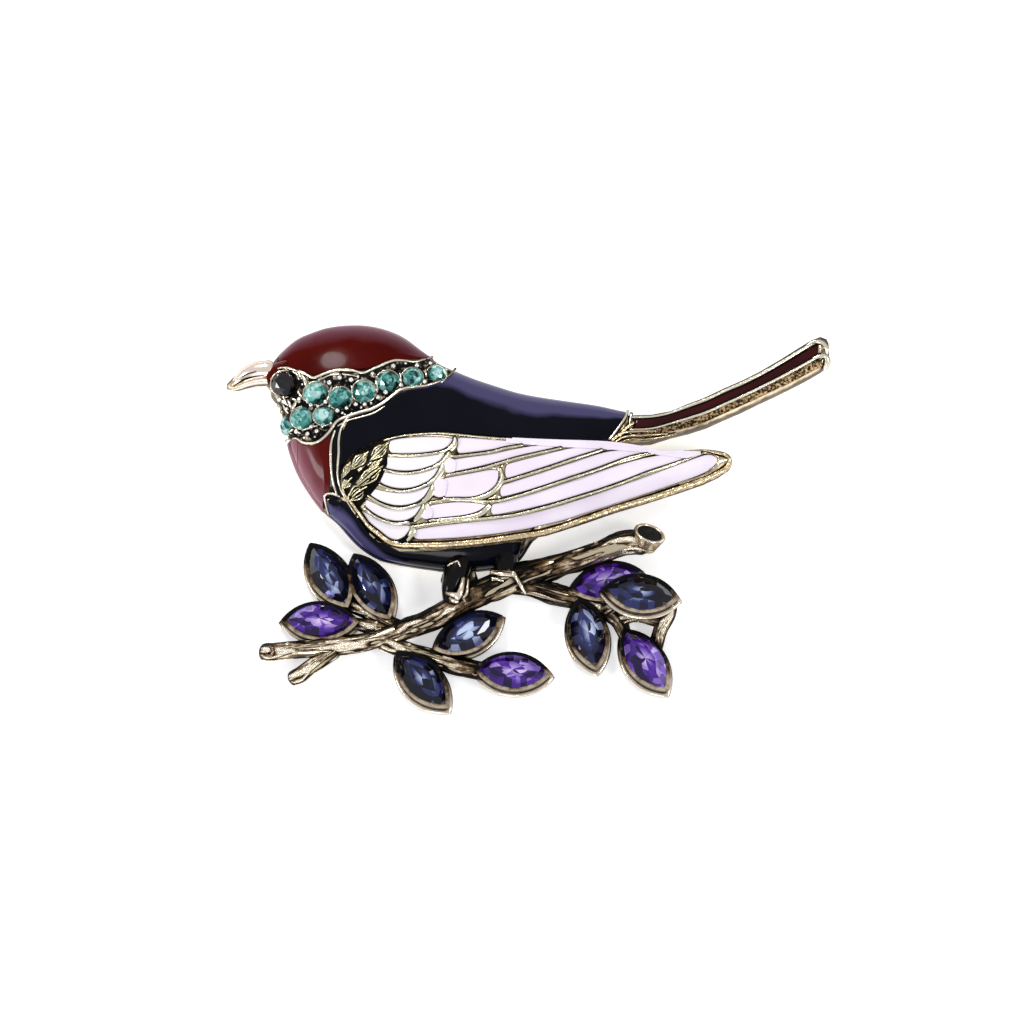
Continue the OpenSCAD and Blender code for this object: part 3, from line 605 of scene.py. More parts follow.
CROWN_LINE = [
    (8.6, 56.7), (9.7, 56.8), (10.9, 56.4), (13.5, 55.1), (14.6, 54.5), (16.3, 55.1), (18.4, 55.7),
    (20.7, 55.7), (22.9, 55.2), (25.2, 56.3), (28, 57.5), (31.1, 57.5), (32.7, 58.1), (34.2, 58.9),
]
BAND_LINE = [
    (9.9, 45), (11.8, 44.6), (13, 43.7), (14.5, 43.4), (15.8, 43.7), (17.3, 45), (18.6, 46.8), (20.4, 47.6),
    (22.4, 48.3), (24.3, 48.8), (26, 49.8), (27.7, 51.2), (29.1, 52.3), (31.1, 52.8), (33.4, 53.2), (35.7, 54.3),
    (37.3, 55.8), (38, 57),
]
# The body's outline: a plan x with its low and its high y
BODY = [
    (6.6, 54.9, 55.7), (7.2, 54.1, 57.4), (8.6, 51.9, 59.6), (9.9, 47.3, 61.1), (11.2, 42.5, 62.3),
    (12.5, 39.1, 63.2), (14.5, 35.7, 64), (16.4, 33.1, 64.7), (19.1, 30.8, 65.1), (22.4, 27.1, 65.2),
    (25.7, 24.9, 64.6), (28.9, 24.1, 63.2), (32.2, 23.6, 60.7), (35.5, 23.1, 58.3), (38.8, 22.9, 56.7),
    (42.1, 23.1, 55.4), (45.4, 23.5, 54.3), (48, 24.4, 53.4), (50.3, 27.8, 52.9), (53, 29.9, 52.4),
    (58.6, 34.5, 51.6), (61.8, 39.6, 51.1),
]
BODY_LOW = [(x, low) for x, low, _ in BODY]
BODY_HIGH = [(x, high) for x, _, high in BODY] + [(66.2, 50)]


# Enamel run over the edge of the body, so that no metal shows along its outline
def rolled_edges():
    for name, table, start, end, inward, material, slot in (
            ("crown_edge", BODY_HIGH, 7.4, 33.8, -0.6, crown_red, "red_enamel"),
            ("back_edge", BODY_HIGH, 38.4, 66, -0.6, navy, "navy_enamel"),
            ("breast_edge", BODY_LOW, 10.8, 16.6, 0.7, edge_red, "red_enamel"),
            ("belly_edge", BODY_LOW, 17.2, 52, 0.7, belly_navy, "navy_enamel")):
        middle = [(x, y) for x, y in table if start < x < end]
        line = [(start, along_table(table, start))] + middle + [(end, along_table(table, end))]
        path = plan_path([(x, y + inward, 1.5, 0.5) for x, y in line], 0.4)
        one_piece(name, [tube(path, 10, flat=1.1)], material, slot)


SPIKES = (
    ((11.8, 56), (12.9, 54.3)), ((12.2, 56), (14.2, 54.7)), ((11.9, 51), (11.4, 49.4)),
    ((8.3, 52.6), (9.6, 50.6)), ((9.3, 52), (10.5, 50)), ((11.2, 51), (12.3, 50.4)),
    ((12.9, 45.6), (15.4, 46.2)), ((10.6, 45.6), (11.7, 46.2)),
)
# Bars between the stones: a thickness and places in the photograph
BARS = (
    (0.55, (301, 375), (304, 380), (306, 386)), (0.4, (287, 400), (289, 404), (291, 408)),
    (0.34, (278.5, 399), (283, 402.5), (288, 405.5)), (0.34, (282, 404), (284, 409), (287.5, 413)),
    (0.22, (295, 401), (292.5, 406), (292, 412)), (0.34, (313, 413), (313.5, 417), (314, 421)),
    (0.26, (316.6, 407), (322, 405), (326, 401), (329, 395), (331, 386)),
    (0.26, (291, 371), (296, 374), (298, 379)), (0.3, (297, 391), (300, 396), (304, 400)),
    (0.26, (351, 386), (352.5, 392), (352.5, 399)), (0.26, (375.5, 380), (377, 385), (377, 392)),
    (0.26, (400, 373), (400.5, 378), (401, 384)), (0.22, (425, 369), (425.5, 373), (426, 377)),
)


# The stone band: blackened ground, bright lines at its edges, spikes and bars
def stone_band():
    low = [(9.3, 49.8), (9.9, 47.6), (10.5, 45)] + BAND_LINE[1:]
    high = CROWN_LINE + [(35.5, 57.8), (38, 56.8)]
    ground = rows_between(9.3, 37.6, 64, low, high)
    laid_sheet("band_ground", ground, 16, 0.03, 0.2, band_black, "antique_gold", 0.12)
    cheek = [(7.4, 53.9, 54.6), (8.1, 52.9, 54.5), (8.8, 51.4, 54.8), (9.4, 49.8, 55)]
    laid_sheet("cheek_ground", cheek, 5, 0.04, 0.2, band_black, "antique_gold")
    lines = [
        plan_wire(CROWN_LINE, (0.3, 0.36, 0.34, 0.3)),
        plan_wire(BAND_LINE, (0.26, 0.36, 0.4, 0.34, 0.28)),
        plan_wire([(12.8, 54.6), (14.4, 53.6), (15.8, 54.2), (17.6, 54.9), (20, 54.9), (22, 54.5)], (0.14, 0.18)),
        plan_wire([(18.8, 46), (20.4, 46.9), (22.6, 47.5), (24.6, 48.1), (26.4, 49.3)], (0.16, 0.2, 0.14)),
    ]
    for a, b in SPIKES:
        middle = ((a[0] + b[0]) / 2, (a[1] + b[1]) / 2)
        lines.append(plan_wire([a, middle, b], (0.16, 0.32, 0.12), sink=0.2))
    for thick, *places in BARS:
        lines.append(photo_wire(places, (thick * 0.6, thick, thick * 0.7), sink=0.1, step=0.25))
    one_piece("band_edge_lines", lines, wire_gold)


GRAINS = [
    (17.3, 53.4), (19, 54.2), (20.9, 53.8), (24.4, 54.9), (27.8, 56.3), (31.7, 56.6), (33.9, 57.3), (16.7, 50.1),
    (12.3, 50.9), (14.3, 49.7), (18.7, 48.5), (20.2, 48.9), (21.7, 49.5), (23.2, 49.5), (25.4, 50.7), (26.6, 51.6),
    (29.1, 52.9), (33, 53.7), (13.8, 44.9), (15.3, 45.2), (14.4, 46), (9, 51.2), (10.2, 49.6), (11.9, 45.6),
]
SMALL_GRAINS = [
    (15.6, 54.1), (12.8, 53.5), (13.1, 52.6), (12.2, 52.1), (13.7, 50.3), (15.4, 49.5), (17.2, 52), (17.3, 49.4),
    (21.2, 52.7), (21.1, 51), (22, 54.5), (25, 53.3), (25, 52.1), (28.9, 55), (28.9, 53.9), (32.9, 55.7),
    (36.5, 56.4), (16.2, 46), (17.6, 46.5), (12.4, 45.3), (11.3, 49.1), (10.8, 50.3), (22.6, 49.1), (24.2, 49.8),
    (19.5, 48.2), (14.6, 47.6), (30.8, 53), (26.2, 55.6), (29.8, 57), (12.7, 54.6), (16.5, 53.7), (34.9, 57.4),
    (31.6, 53), (19.9, 47.9), (15, 44.4), (13.2, 44.4),
]


def grain_beads():
    bead = added(bpy.ops.mesh.primitive_uv_sphere_add, segments=12, ring_count=7, radius=1)
    edit(bead)
    bpy.ops.transform.resize(value=(1, 1, 0.85))
    done()
    beads = []
    for places, width in ((GRAINS, 0.55), (SMALL_GRAINS, 0.34)):
        for x, y in places:
            size = width * chance.uniform(0.85, 1.1)
            z = height_at(px(x), py(y), 0.25) + size * 0.12
            place = Matrix.Translation((px(x), py(y), z)) @ Matrix.Scale(size / 2, 4)
            beads.append(copy_to(bead, "bead", place))
    bpy.data.objects.remove(bead)
    one_piece("grain_beads", beads, bead_silver, degrees=80)


# The outline of a leaf stone between two arcs, each place with the way it faces
def leaf_rim(length, width, shares):
    r = (length ** 2 + width ** 2) / (4 * width)
    a = math.asin(length / 2 / r)
    out = []
    for side in (1, -1):
        for share in shares:
            t = a * share * side
            normal = Vector((math.sin(t), side * math.cos(t)))
            out.append((Vector((r * math.sin(t), side * (r * math.cos(t) - (r - width / 2)))), normal))
    return out


def round_rim(width, count, start=0.0):
    turns = [2 * math.pi * (k + start) / count for k in range(count)]
    normals = [Vector((math.cos(turn), math.sin(turn))) for turn in turns]
    return [(normal * width / 2, normal) for normal in normals]


def facet(place, normal):
    bpy.ops.mesh.select_all(action="SELECT")
    bpy.ops.mesh.bisect(plane_co=place, plane_no=normal, use_fill=True, clear_outer=True)


# Half the height of the band round a stone's widest place
GIRDLE = 0.06


# A cut stone: a blank with the girdle's outline, then one bisect for every facet
def cut_stone(name, outline, mains, halves, stars, crown, depth, table):
    stone = added(bpy.ops.mesh.primitive_cylinder_add, vertices=len(outline), radius=1, depth=2)
    stone.name = name
    for k, v in enumerate(stone.data.vertices):
        point = outline[(k // 2) % len(outline)][0]
        v.co = Vector((point.x, point.y, crown if v.co.z > 0 else -depth))
    edit(stone)
    crown_cuts = ((mains, 1, GIRDLE, 1), (halves, 1, GIRDLE, 1.25), (stars, table, crown * 0.97, 0.5))
    for rim, inward, z, steep in crown_cuts:
        for point, normal in rim:
            slope = (normal.x * crown * steep, normal.y * crown * steep, (1 - table) * point.dot(normal))
            facet((point.x * inward, point.y * inward, z), slope)
    for point, normal in mains:
        facet((point.x, point.y, -GIRDLE), (normal.x * depth, normal.y * depth, -point.dot(normal)))
    done()
    return stone


# Painted glints are dealt to the facets, most of them dark; each place in the stone is kept for the wedges below
def deal_glints(stone, half_long, half_wide, table_glint, power):
    glints = stone.data.attributes.new("facet_glint", "FLOAT", "FACE")
    for face in stone.data.polygons:
        glints.data[face.index].value = chance.random() ** power if face.normal.z < 0.99 else table_glint
    places = stone.data.attributes.new("stone_place", "FLOAT_VECTOR", "POINT")
    deal = chance.uniform(0, 90)
    for v in stone.data.vertices:
        places.data[v.index].vector = (v.co.x / half_long, v.co.y / half_wide, deal)


# Leaves: a plan place, a turn in degrees, the height of the base and the colour
LEAVES = [
    (17.4, 22, -60, 0, "blue"), (24.4, 20.1, -62, 0, "blue"), (16, 14.3, -2, 0, "purple"),
    (40.2, 12.3, 27, 0, "blue"), (32.8, 4.4, -48, 0, "blue"), (47.5, 5.8, -4, 0, "purple"),
    (59.8, 12.1, -77, 0, "blue"), (62.9, 21, 14, 0, "purple"), (68.3, 17.6, -7, 3.7, "blue"),
    (69.1, 7.7, -56, 0, "purple"),
]
LEAF_STONE_Z = 2.6
# Where the outline, the main facets, the facets at the girdle and the stars of a leaf stone lie
LEAF_CUT = (
    [1 - 2 * k / 15 for k in range(15)], (-0.8, -0.27, 0.27, 0.8),
    (-0.93, -0.62, -0.42, -0.12, 0.12, 0.42, 0.62, 0.93), (-0.55, 0.0, 0.55),
)


def leaf_place(leaf, z=0.0):
    x, y, turn, base, _ = leaf
    return Matrix.Translation((px(x), py(y), base + z)) @ Matrix.Rotation(math.radians(turn), 4, "Z")


def leaf_stones():
    length, width = 7.7, 3.9
    pattern = cut_stone("leaf_pattern", *[leaf_rim(length, width, shares) for shares in LEAF_CUT], 1.1, 1.0, 0.5)
    looks = {"blue": (2.7, blue, "blue_stone"), "purple": (1.5, purple, "purple_stone")}
    for i, leaf in enumerate(LEAVES):
        power, material, slot = looks[leaf[4]]
        stone = copy_to(pattern, f"leaf_cut_{i + 1}", Matrix.Identity(4))
        stone.data.transform(Matrix.Scale(1 / MM, 4))
        deal_glints(stone, length / 2, width / 2, 0.2, power)
        finished(set_down(stone, leaf_place(leaf, LEAF_STONE_Z)), material, slot, f"leaf_stone_{i + 1}")
    bpy.data.objects.remove(pattern)


# Painted light: the side of a leaf towards the branch's foot is painted lit, the other side painted in shade
def paint_lit_side(piece, place):
    low = piece.data.attributes.new("painted_lit_side", "FLOAT", "POINT")
    back, turn = place.inverted(), place.to_3x3()
    for v in piece.data.vertices:
        p = back @ (v.co / MM)
        out = turn @ Vector((p.x / 22, p.y / 6, 0))
        low.data[v.index].value = 0.5 + 0.5 * out.normalized().dot(Vector((0.3, -0.95, 0)))


# A flat outline raised step by step, each step a lift and how much it grows along and across
def raised(piece, steps):
    edit(piece)
    for lift, along, across in steps:
        bpy.ops.mesh.extrude_region_move(TRANSFORM_OT_translate={"value": (0, 0, lift)})
        bpy.ops.transform.resize(value=(along, across, 1))
    bpy.ops.mesh.select_all(action="SELECT")
    bpy.ops.mesh.normals_make_consistent(inside=False)
    done()


# The cup of a leaf is a dark wall on a pale tray; painted light brightens them on the side towards the branch's
# foot and leaves the far side in painted shade, so the tray shows only round its lower side.
# Each has its foot's share along and across, its foot's height and its steps.
LEAF_FORMS = (
    ("leaf_walls", wall_gold, (0.905, 0.87, 0.02), (
        (1.3, 1.0525, 1.073), (1.25, 1.05, 1.071), (0.1, 0.995, 0.99), (0.03, 0.93, 0.905), (-0.01, 0.922, 0.91),
        (-0.2, 0.985, 0.985))),
    ("leaf_trays", tray_gold, (1.0, 1.0, 0.05), (
        (0.35, 1.07, 1.1), (0.4, 1.02, 1.025), (0.2, 0.985, 0.98), (0.07, 0.965, 0.95), (0.02, 0.93, 0.9))),
)


def leaf_cups():
    rim = [p for p, _ in leaf_rim(8.9, 4.68, [1 - 2 * k / 16 for k in range(16)])]
    for name, material, (along, across, foot), steps in LEAF_FORMS:
        pattern = disc(len(rim))
        for v, point in zip(pattern.data.vertices, rim):
            v.co = Vector((point.x * along, point.y * across, foot))
        raised(pattern, steps)
        copies = [copy_to(pattern, "copy", leaf_place(leaf)) for leaf in LEAVES]
        for copy, leaf in zip(copies, LEAVES):
            paint_lit_side(copy, leaf_place(leaf))
        bpy.data.objects.remove(pattern)
        one_piece(name, copies, material, degrees=50)


# Where a round stone sits is read from its own CAD node
def stone_frame(node):
    mesh = nodes[node].data

    def level_with(normal):
        return sum(p.area for p in mesh.polygons if p.normal.dot(normal) > 0.999)
    axis = max((p.normal for p in mesh.polygons if p.normal.z > 0.3), key=level_with)
    table = max(v.co.dot(axis) for v in mesh.vertices)
    high = [v.co for v in mesh.vertices if v.co.dot(axis) > table - 0.00001]
    return sum(high, Vector()) / len(high) / MM, axis


ROUND_WIDTHS = [2.1, 2.5, 2.6, 2.2, 2.6, 2.6, 2.5, 2.3, 2.1]
EYE_WIDTH = 3.0
ROUND_STONES = [(f"teal_stone_{i + 1}", width) for i, width in enumerate(ROUND_WIDTHS)]
ROUND_STONES.append(("eye_stone", EYE_WIDTH))
# The height of a round stone's crown as a share of its width
CROWN = 0.28


def round_stones():
    for node, width in ROUND_STONES:
        if node == "eye_stone":
            grow, glint, power, material, slot = 1.08, 0.1, 2.4, jet, "black_stone"
        else:
            grow, glint, power, material, slot = 1.05, 0.5, 0.9, teal, "teal_stone"
        middle, axis = stone_frame(node)
        width *= grow
        rims = [round_rim(width, *cut) for cut in ((32,), (8,), (16, 0.5), (8, 0.5))]
        stone = cut_stone(node.replace("stone", "cut"), *rims, width * CROWN, width * 0.3, 0.55)
        deal_glints(stone, width / 2, width / 2, glint, power)
        place = Matrix.Translation(middle - axis * width * CROWN) @ facing(axis)
        set_down(stone, place @ Matrix.Rotation(chance.random(), 4, "Z"))
        finished(stone, material, slot, node)


# Thin bright rings hold the round stones
def stone_rings():
    rings = []
    for node, width in ROUND_STONES:
        middle, axis = stone_frame(node)
        hoop = ring(width / 2 + 0.12, 0.1 if node == "eye_stone" else 0.07, 36)
        rings.append(set_down(hoop, Matrix.Translation(middle - axis * (width * CROWN + 0.02)) @ facing(axis)))
    one_piece("stone_rings", rings, wire_gold, degrees=60)


# Bark on the branch and the twigs
def bark(turn, travel):
    round_x, round_y = math.cos(turn), math.sin(turn)
    ridge = 1 - 2 * abs(noise.noise(Vector((round_x * 2.4, round_y * 2.4, travel * 0.16))))
    rough = noise.noise(Vector((round_x * 4.5 + 7, round_y * 4.5, travel * 0.6)))
    knot = noise.noise(Vector((round_x + 19, round_y, travel * 0.4)))
    return 0.92 + 0.2 * ridge + 0.09 * rough + 0.09 * knot


# Rows of a plan place, a height and a thickness in hundredths of the limb's own
BRANCH = [
    (6.9, 9.3, 1.9, 90), (7.8, 9.3, 1.9, 98), (12.5, 9.7, 2, 98), (20.6, 10.4, 2.1, 106), (25, 11.2, 2.2, 100),
    (29.6, 12.8, 2.3, 110), (33.9, 14.5, 2.4, 124), (38, 16.8, 2.4, 132), (42.9, 19.3, 2.5, 146),
    (47.9, 21.4, 2.5, 150), (53.8, 23.2, 2.6, 134), (60, 25.2, 2.7, 126), (65.5, 27.2, 2.8, 134),
    (68.6, 27.4, 2.8, 132),
]
TWIGS = [
    [(20.8, 17.4, 1.3, 110), (23.5, 16.3, 1.4, 130), (26.5, 14.4, 1.4, 150), (29.6, 13, 2, 140)],
    [(21.2, 14.4, 1.3, 90), (24.4, 13.6, 1.5, 130), (27.8, 12.4, 2, 120)],
    [(11.6, 5, 1.5, 120), (12.5, 5.4, 1.6, 135), (14.4, 6.8, 1.7, 130), (18.4, 9.4, 2, 125)],
    [(26.4, 11, 2, 150), (30.5, 9.6, 1.4, 150), (34, 8.6, 1.4, 150), (38, 7.2, 1.4, 160), (42, 6.3, 1.4, 160)],
    [(46.5, 20.4, 2.2, 130), (50.8, 20, 2.2, 160), (54.6, 19, 1.8, 190), (59.6, 17.8, 1.4, 150),
     (62.4, 16.6, 1.5, 165), (64.9, 14.6, 1.5, 140), (66, 11.8, 1.4, 100)],
    [(62.4, 16.4, 1.8, 110), (64, 16.8, 3.2, 110), (65.8, 17.4, 4.2, 110)],
    [(73.4, 16.6, 4.3, 100), (73, 15.2, 3.2, 125), (71.6, 12.8, 2, 120), (70.8, 10, 1.3, 120)],
    [(64.8, 14.7, 1.7, 90), (68, 15.1, 2, 90), (71.6, 14, 2.4, 90)],
]


def limb(rows, thick):
    return tube(plan_path([(x, y, z, thick * share / 200) for x, y, z, share in rows], 0.22), 32, bark)


def branch_and_twigs():
    one_piece("branch_bark", [limb(BRANCH, 2.0)] + [limb(rows, 1.3) for rows in TWIGS], bark_gold)


# The broken end of the branch: a flared mouth with a thin lip round a dark disc, painted shade standing for the
# inside of the bore
def hollow_end():
    place = Matrix.Translation((px(69.1), py(26.8), 2.6)) @ facing(Vector((0.3, 0.62, 0.72)).normalized())
    horn = disc(40, 1.15)
    lifts = (0.5, 0.5, 0.45, 0.3, 0.12, 0.03, -0.04, -0.15)
    flare = (1.12, 1.13, 1.12, 1.06, 1.0, 0.94, 0.94, 0.97)
    raised(horn, zip(lifts, flare, flare))
    one_piece("hollow_horn", [set_down(horn, place)], cup_gold, degrees=50)
    one_piece("hollow_lip", [set_down(ring(1.64, 0.2, 40, 1.86), place)], lip_gold, degrees=60)
    bore_shade = added(bpy.ops.mesh.primitive_cylinder_add, vertices=40, radius=1.56, depth=0.12, location=(0, 0, 1.84))
    one_piece("hollow_bore_shade", [set_down(bore_shade, place)], patina_and_shade_black, degrees=40)


# Lines between the long feathers
WING_LINES = [
    [(37.3, 40.2), (43.4, 41), (46.2, 41.8), (49, 42.4)],
    [(36.7, 37), (42.5, 38.2), (48.4, 40.1), (55.4, 42)],
    [(45.4, 35.8), (47, 36.2), (53, 38.3), (58.5, 40.4), (62.1, 41.8)],
    [(33.9, 32.4), (38.2, 33.1), (44.1, 32.7), (48.4, 33.6), (55.8, 36.2), (61.2, 38.2), (66.6, 40.6),
     (69.6, 41.5)],
    [(30.9, 28.6), (38.2, 29.6), (42.3, 29.9), (47.5, 30.5), (53, 31.9), (58.5, 33.7), (64, 35.7), (69.4, 38),
     (75.8, 40.6)],
]
# Between the coverts and the second row, in places of the photograph
ROW_FILLS = [
    [(450, 463), (449.5, 466), (449, 469)], [(441.5, 483), (440.3, 488), (439, 493)],
    [(427.5, 509.5), (426.5, 512), (425.5, 514.5)],
]
# Coverts: start, end, the lower edge's start, its sag and its end, the upper edge's end
COVERTS = [
    (27.2, 37.7, 40.9, -0.5, 41.8, 43.8), (26.5, 36.7, 38.3, -1.3, 39.9, 41.4),
    (25.7, 35.7, 35.7, -1.8, 37.3, 39.5), (23.9, 34.1, 34, -2.1, 33.8, 35.5),
    (23.3, 32.6, 32.1, -1.9, 30.6, 32.3), (21.9, 30.9, 31.4, -2.3, 27.2, 29.1),
]
SECOND_ROW_ENDS = [
    [(36.2, 33.1), (38.2, 33.0), (41.5, 33.1), (44.3, 34.3), (45.7, 36.3), (45.5, 38.2)],
    [(33.9, 29.6), (36.5, 29.8), (40, 30.1), (42.4, 30.8), (43.7, 32)],
]
WING_LOW = [
    (19.8, 36), (19.9, 34.7), (21.2, 32.8), (22.7, 30.9), (24, 29), (25.7, 27.6), (27.3, 26.3), (28.9, 25.8),
    (32.2, 25.7), (36.3, 25.8), (42.1, 26.3), (47.5, 27.1), (53, 28.1), (58.6, 30), (64, 32.1), (69.4, 34),
    (74.8, 36), (78.9, 37.6), (81.4, 38.9), (82.7, 39.9), (83.2, 40.8), (82.7, 41.6), (81.4, 42.1), (78.9, 42.5),
    (76, 42.3),
]
WING_HIGH = [
    (26.4, 43.2), (28.9, 43.9), (32.2, 44.3), (36.3, 44.4), (42.1, 43.9), (47.5, 43.5), (53, 43.3), (58.6, 43.2),
    (64, 43.1), (69.4, 42.5), (72, 41.9), (75.5, 42.2),
]


# The wing: a wire for every metal line, a crescent round the tip of every covert
def wing_metal():
    wires, shade_beds, crescents = [], [], []
    for line in WING_LINES:
        lined(line, (0.26, 0.34, 0.36, 0.34, 0.3, 0.18), wires, shade_beds, step=0.25)
    for x0, x1, low0, sag, low1, high1 in COVERTS:
        length, rise = x1 - x0, low1 - low0
        shares = (0, 0.2, 0.4, 0.6, 0.78)
        line = [(x0 + length * t, low0 + rise * t + 4 * sag * t * (1 - t) - 0.32) for t in shares]
        lined(line, (0.24, 0.3, 0.32, 0.34, 0.36), wires, shade_beds, step=0.25)
        end = [
            line[-1], (x0 + length * 0.92, low0 + rise * 0.92 + 0.29 * sag - 0.3),
            (x1 + 0.25, low1 + (high1 - low1) * 0.3), (x1 + 0.35, high1 - 0.3),
        ]
        lined(end, (0.36, 0.6, 0.78, 0.4), crescents, shade_beds, margin=0.3, step=0.25, flat=0.42)
    for line in SECOND_ROW_ENDS:
        lined(line, (0.24, 0.36, 0.5, 0.6, 0.55, 0.3), crescents, shade_beds, margin=0.3, step=0.25, flat=0.5)
    wires.append(plan_wire(WING_HIGH[:6], (0.2, 0.22, 0.18), flat=0.6, step=0.25))
    one_piece("wing_wires", wires, line_gold)
    one_piece("covert_crescents", crescents, crescent_gold)
    # Patina and painted shade: dark lines just inside the rim and along the upper edge
    shade_beds.append(wire([(x, y + 0.44, 0.2) for x, y in plan_points(WING_LOW[1:17])], flat=0.3, sink=0.4, sides=6))
    shade_beds.append(plan_wire(WING_HIGH[:6], (0.44, 0.44, 0.36), flat=0.3, sink=0.5, sides=6))
    one_piece("wing_line_shade_beds", shade_beds, patina_and_shade_black)
    inward = [(x, y + 0.14) for x, y in WING_LOW[:19]] + WING_LOW[19:]
    rim_thick = (0.42, 0.54, 0.66, 0.72, 0.78, 0.84, 0.9, 0.9, 0.5, 0.24)
    one_piece("wing_rim", [plan_wire(inward, rim_thick, sink=0.5, flat=0.9, step=0.25)], rim_gold)
    fills = [photo_wire(line, (1.5, 1.6, 1.5), flat=0.2, sink=0.4) for line in ROW_FILLS]
    edge = plan_wire(WING_HIGH[5:], (0.42, 0.44, 0.44, 0.4, 0.3), flat=0.5, sink=0.5)
    one_piece("wing_upper_edge", [edge] + fills, blush, "pale_enamel")
    # Past the ends of the lines the enamel runs on to the wing's edge
    low = [(46, 42.9)] + [(line[-1][0], line[-1][1] + 0.25) for line in WING_LINES] + [(79, 41.8)]
    high = [(x, y + 0.1) for x, y in WING_HIGH] + [(79, 42.3)]
    rows = rows_between(46.4, 78.4, 110, low, high)
    laid_sheet("wing_upper_field", rows, 5, 0.06, 0.14, blush, "pale_enamel", 0.12)


# Tufts: where each starts and ends in the photograph and how wide it is there
TUFTS = [
    ((371, 461), (389, 443), 11), ((352, 470), (369, 452), 11), ((358, 487), (384, 466), 13),
    ((348, 503), (368, 487), 13), ((344, 478), (351, 462), 6), ((343, 491), (353, 478), 8),
    ((368, 473), (383, 459), 5),
]
# How far to the side each rib of a tuft lies and how thick it is
RIBS = ((0, 0.22), (1, 0.18), (-1, 0.18), (0.5, 0.13), (-0.5, 0.13))


# Shoulder: tufts of cast feather on a dark ground, each a rib with two barbs on either side
def shoulder():
    low = [(19.7, 35.4), (20.6, 33.9), (22.2, 32), (23.2, 32.6), (24.6, 34.2), (25.6, 35.4), (26.4, 37.2),
           (27, 39)]
    high = [(19.7, 38.4), (20.6, 39.8), (22, 41.2), (24, 42.4), (27, 43.5)]
    rows = rows_between(19.7, 27, 14, low, high)
    # The dark ground between the tufts is partly patina, partly painted shade
    laid_sheet("shoulder_ground", rows, 12, 0.05, 0.15, patina_and_shade_black, "antique_gold")
    pieces = []
    for start, end, wide in TUFTS:
        a, b = spot(*start).xy, spot(*end).xy
        across = Vector((-(b - a).y, (b - a).x)).normalized() * wide * PHOTO_MM / 2
        for side, thick in RIBS:
            inner = abs(side)
            p = a.lerp(b, 0.1 * inner) + across * side * 0.35
            q = a.lerp(b, 1 - 0.26 * inner) + across * side * 0.62
            middle = a.lerp(b, 0.5) + across * side
            points = [(*p, thick * 0.6), (*middle, thick), (*q, thick * 0.6)]
            pieces.append(wire(points, sink=0.1, sides=6, step=0.25))
    one_piece("shoulder_tufts", pieces, tuft_gold)


BREAST_LINES = [
    [(335, 431), (332, 440), (330.9, 450), (331.2, 464), (332.4, 476), (334.6, 486), (337.5, 495)],
    [(352, 413), (346, 419), (341, 429), (339, 440), (339, 452), (338.3, 464), (338.2, 474), (339.5, 483),
     (343, 493), (350, 505), (359, 517)],
    [(328.5, 517), (326.5, 507), (324.8, 496), (331, 493.6), (340, 496.5)],
]


# Breast: the pale line before the back, the second one beside it and the dark sliver between them
def breast_lines():
    sliver = rows_between(17.5, 19.6, 6, [(17.4, 34.3), (19.6, 34.3)], [(17.4, 44.9), (18.2, 46.2), (19.6, 47)])
    laid_sheet("breast_sliver", sliver, 14, 0.05, 0.15, leg_black, "navy_enamel")
    tip = [(16.8, 32.9, 33.5), (17.1, 32.6, 34.1), (17.5, 32.3, 34.3), (18, 32.2, 34.3), (18.6, 32.4, 34.2),
           (19.3, 32.8, 34)]
    laid_sheet("belly_tip", tip, 6, 0.05, 0.15, belly_navy, "navy_enamel")
    side = [(10.9, 43.8, 44.8), (11.1, 43, 44.7), (11.4, 42.1, 44.6), (11.7, 41.3, 44.4), (12, 40.6, 44.2)]
    laid_sheet("breast_side", side, 8, 0.015, 0.15, breast_red, "red_enamel", 0.03)
    lines = [photo_wire(line, (0.26, 0.32, 0.32, 0.26), step=0.25) for line in BREAST_LINES]
    one_piece("breast_lines", lines, wire_gold)


# The dark end of the belly under the wing, and the red corner between beak and eye
def dark_corners():
    low = [(x, y + 0.4) for x, y in BODY_LOW]
    rows = rows_between(47.6, 51, 6, low, [(47.6, 26.4), (49, 26.7), (51.4, 28)])
    laid_sheet("belly_end", rows, 4, 0.05, 0.15, belly_navy, "navy_enamel")
    corner = [(284, 362.5, 3.9, 0.4), (276, 366, 3.7, 0.55), (270.5, 371, 3.7, 0.55), (268.5, 377, 3.8, 0.45),
              (269, 384.5, 3.9, 0.26)]
    one_piece("crown_corner", [photo_rod(corner, 14)], crown_red, "red_enamel")


# The tail's outline: a plan x with its low and its high y
TAIL = [
    (66.9, 44.7, 49), (70.4, 45, 49.1), (73.5, 46, 49.7), (76.6, 46.8, 51), (79.6, 47.8, 52.2), (82.6, 49.2, 53.7),
    (85.7, 50.7, 55.1), (88.7, 52.2, 56.7), (91.8, 53.7, 58.6), (94.7, 55.2, 60.5), (97.2, 56.6, 62.1),
    (98.6, 57.5, 62.7),
]
TAIL_TIPS = [
    [(810, 344, 3.3, 0.16), (817, 340, 3.3, 0.24), (825, 340.5, 3.3, 0.3), (830, 346, 3.2, 0.3),
     (830, 352.5, 3.1, 0.2)],
    [(816, 357, 3.4, 0.16), (823, 354.5, 3.4, 0.24), (829, 355, 3.3, 0.32), (830.5, 361, 3, 0.36),
     (828, 367, 2.6, 0.3)],
]
TAIL_FAN = [
    [(63.8, 44.2), (65.6, 45.6), (68, 45.9), (71, 46)], [(64.2, 44), (66, 45.1), (69, 45.3), (73, 45.7)],
    [(64.6, 43.8), (66.6, 44.7), (70, 44.8), (74.5, 45.9)], [(65, 45), (66.2, 46.4), (67.4, 47.4)],
]


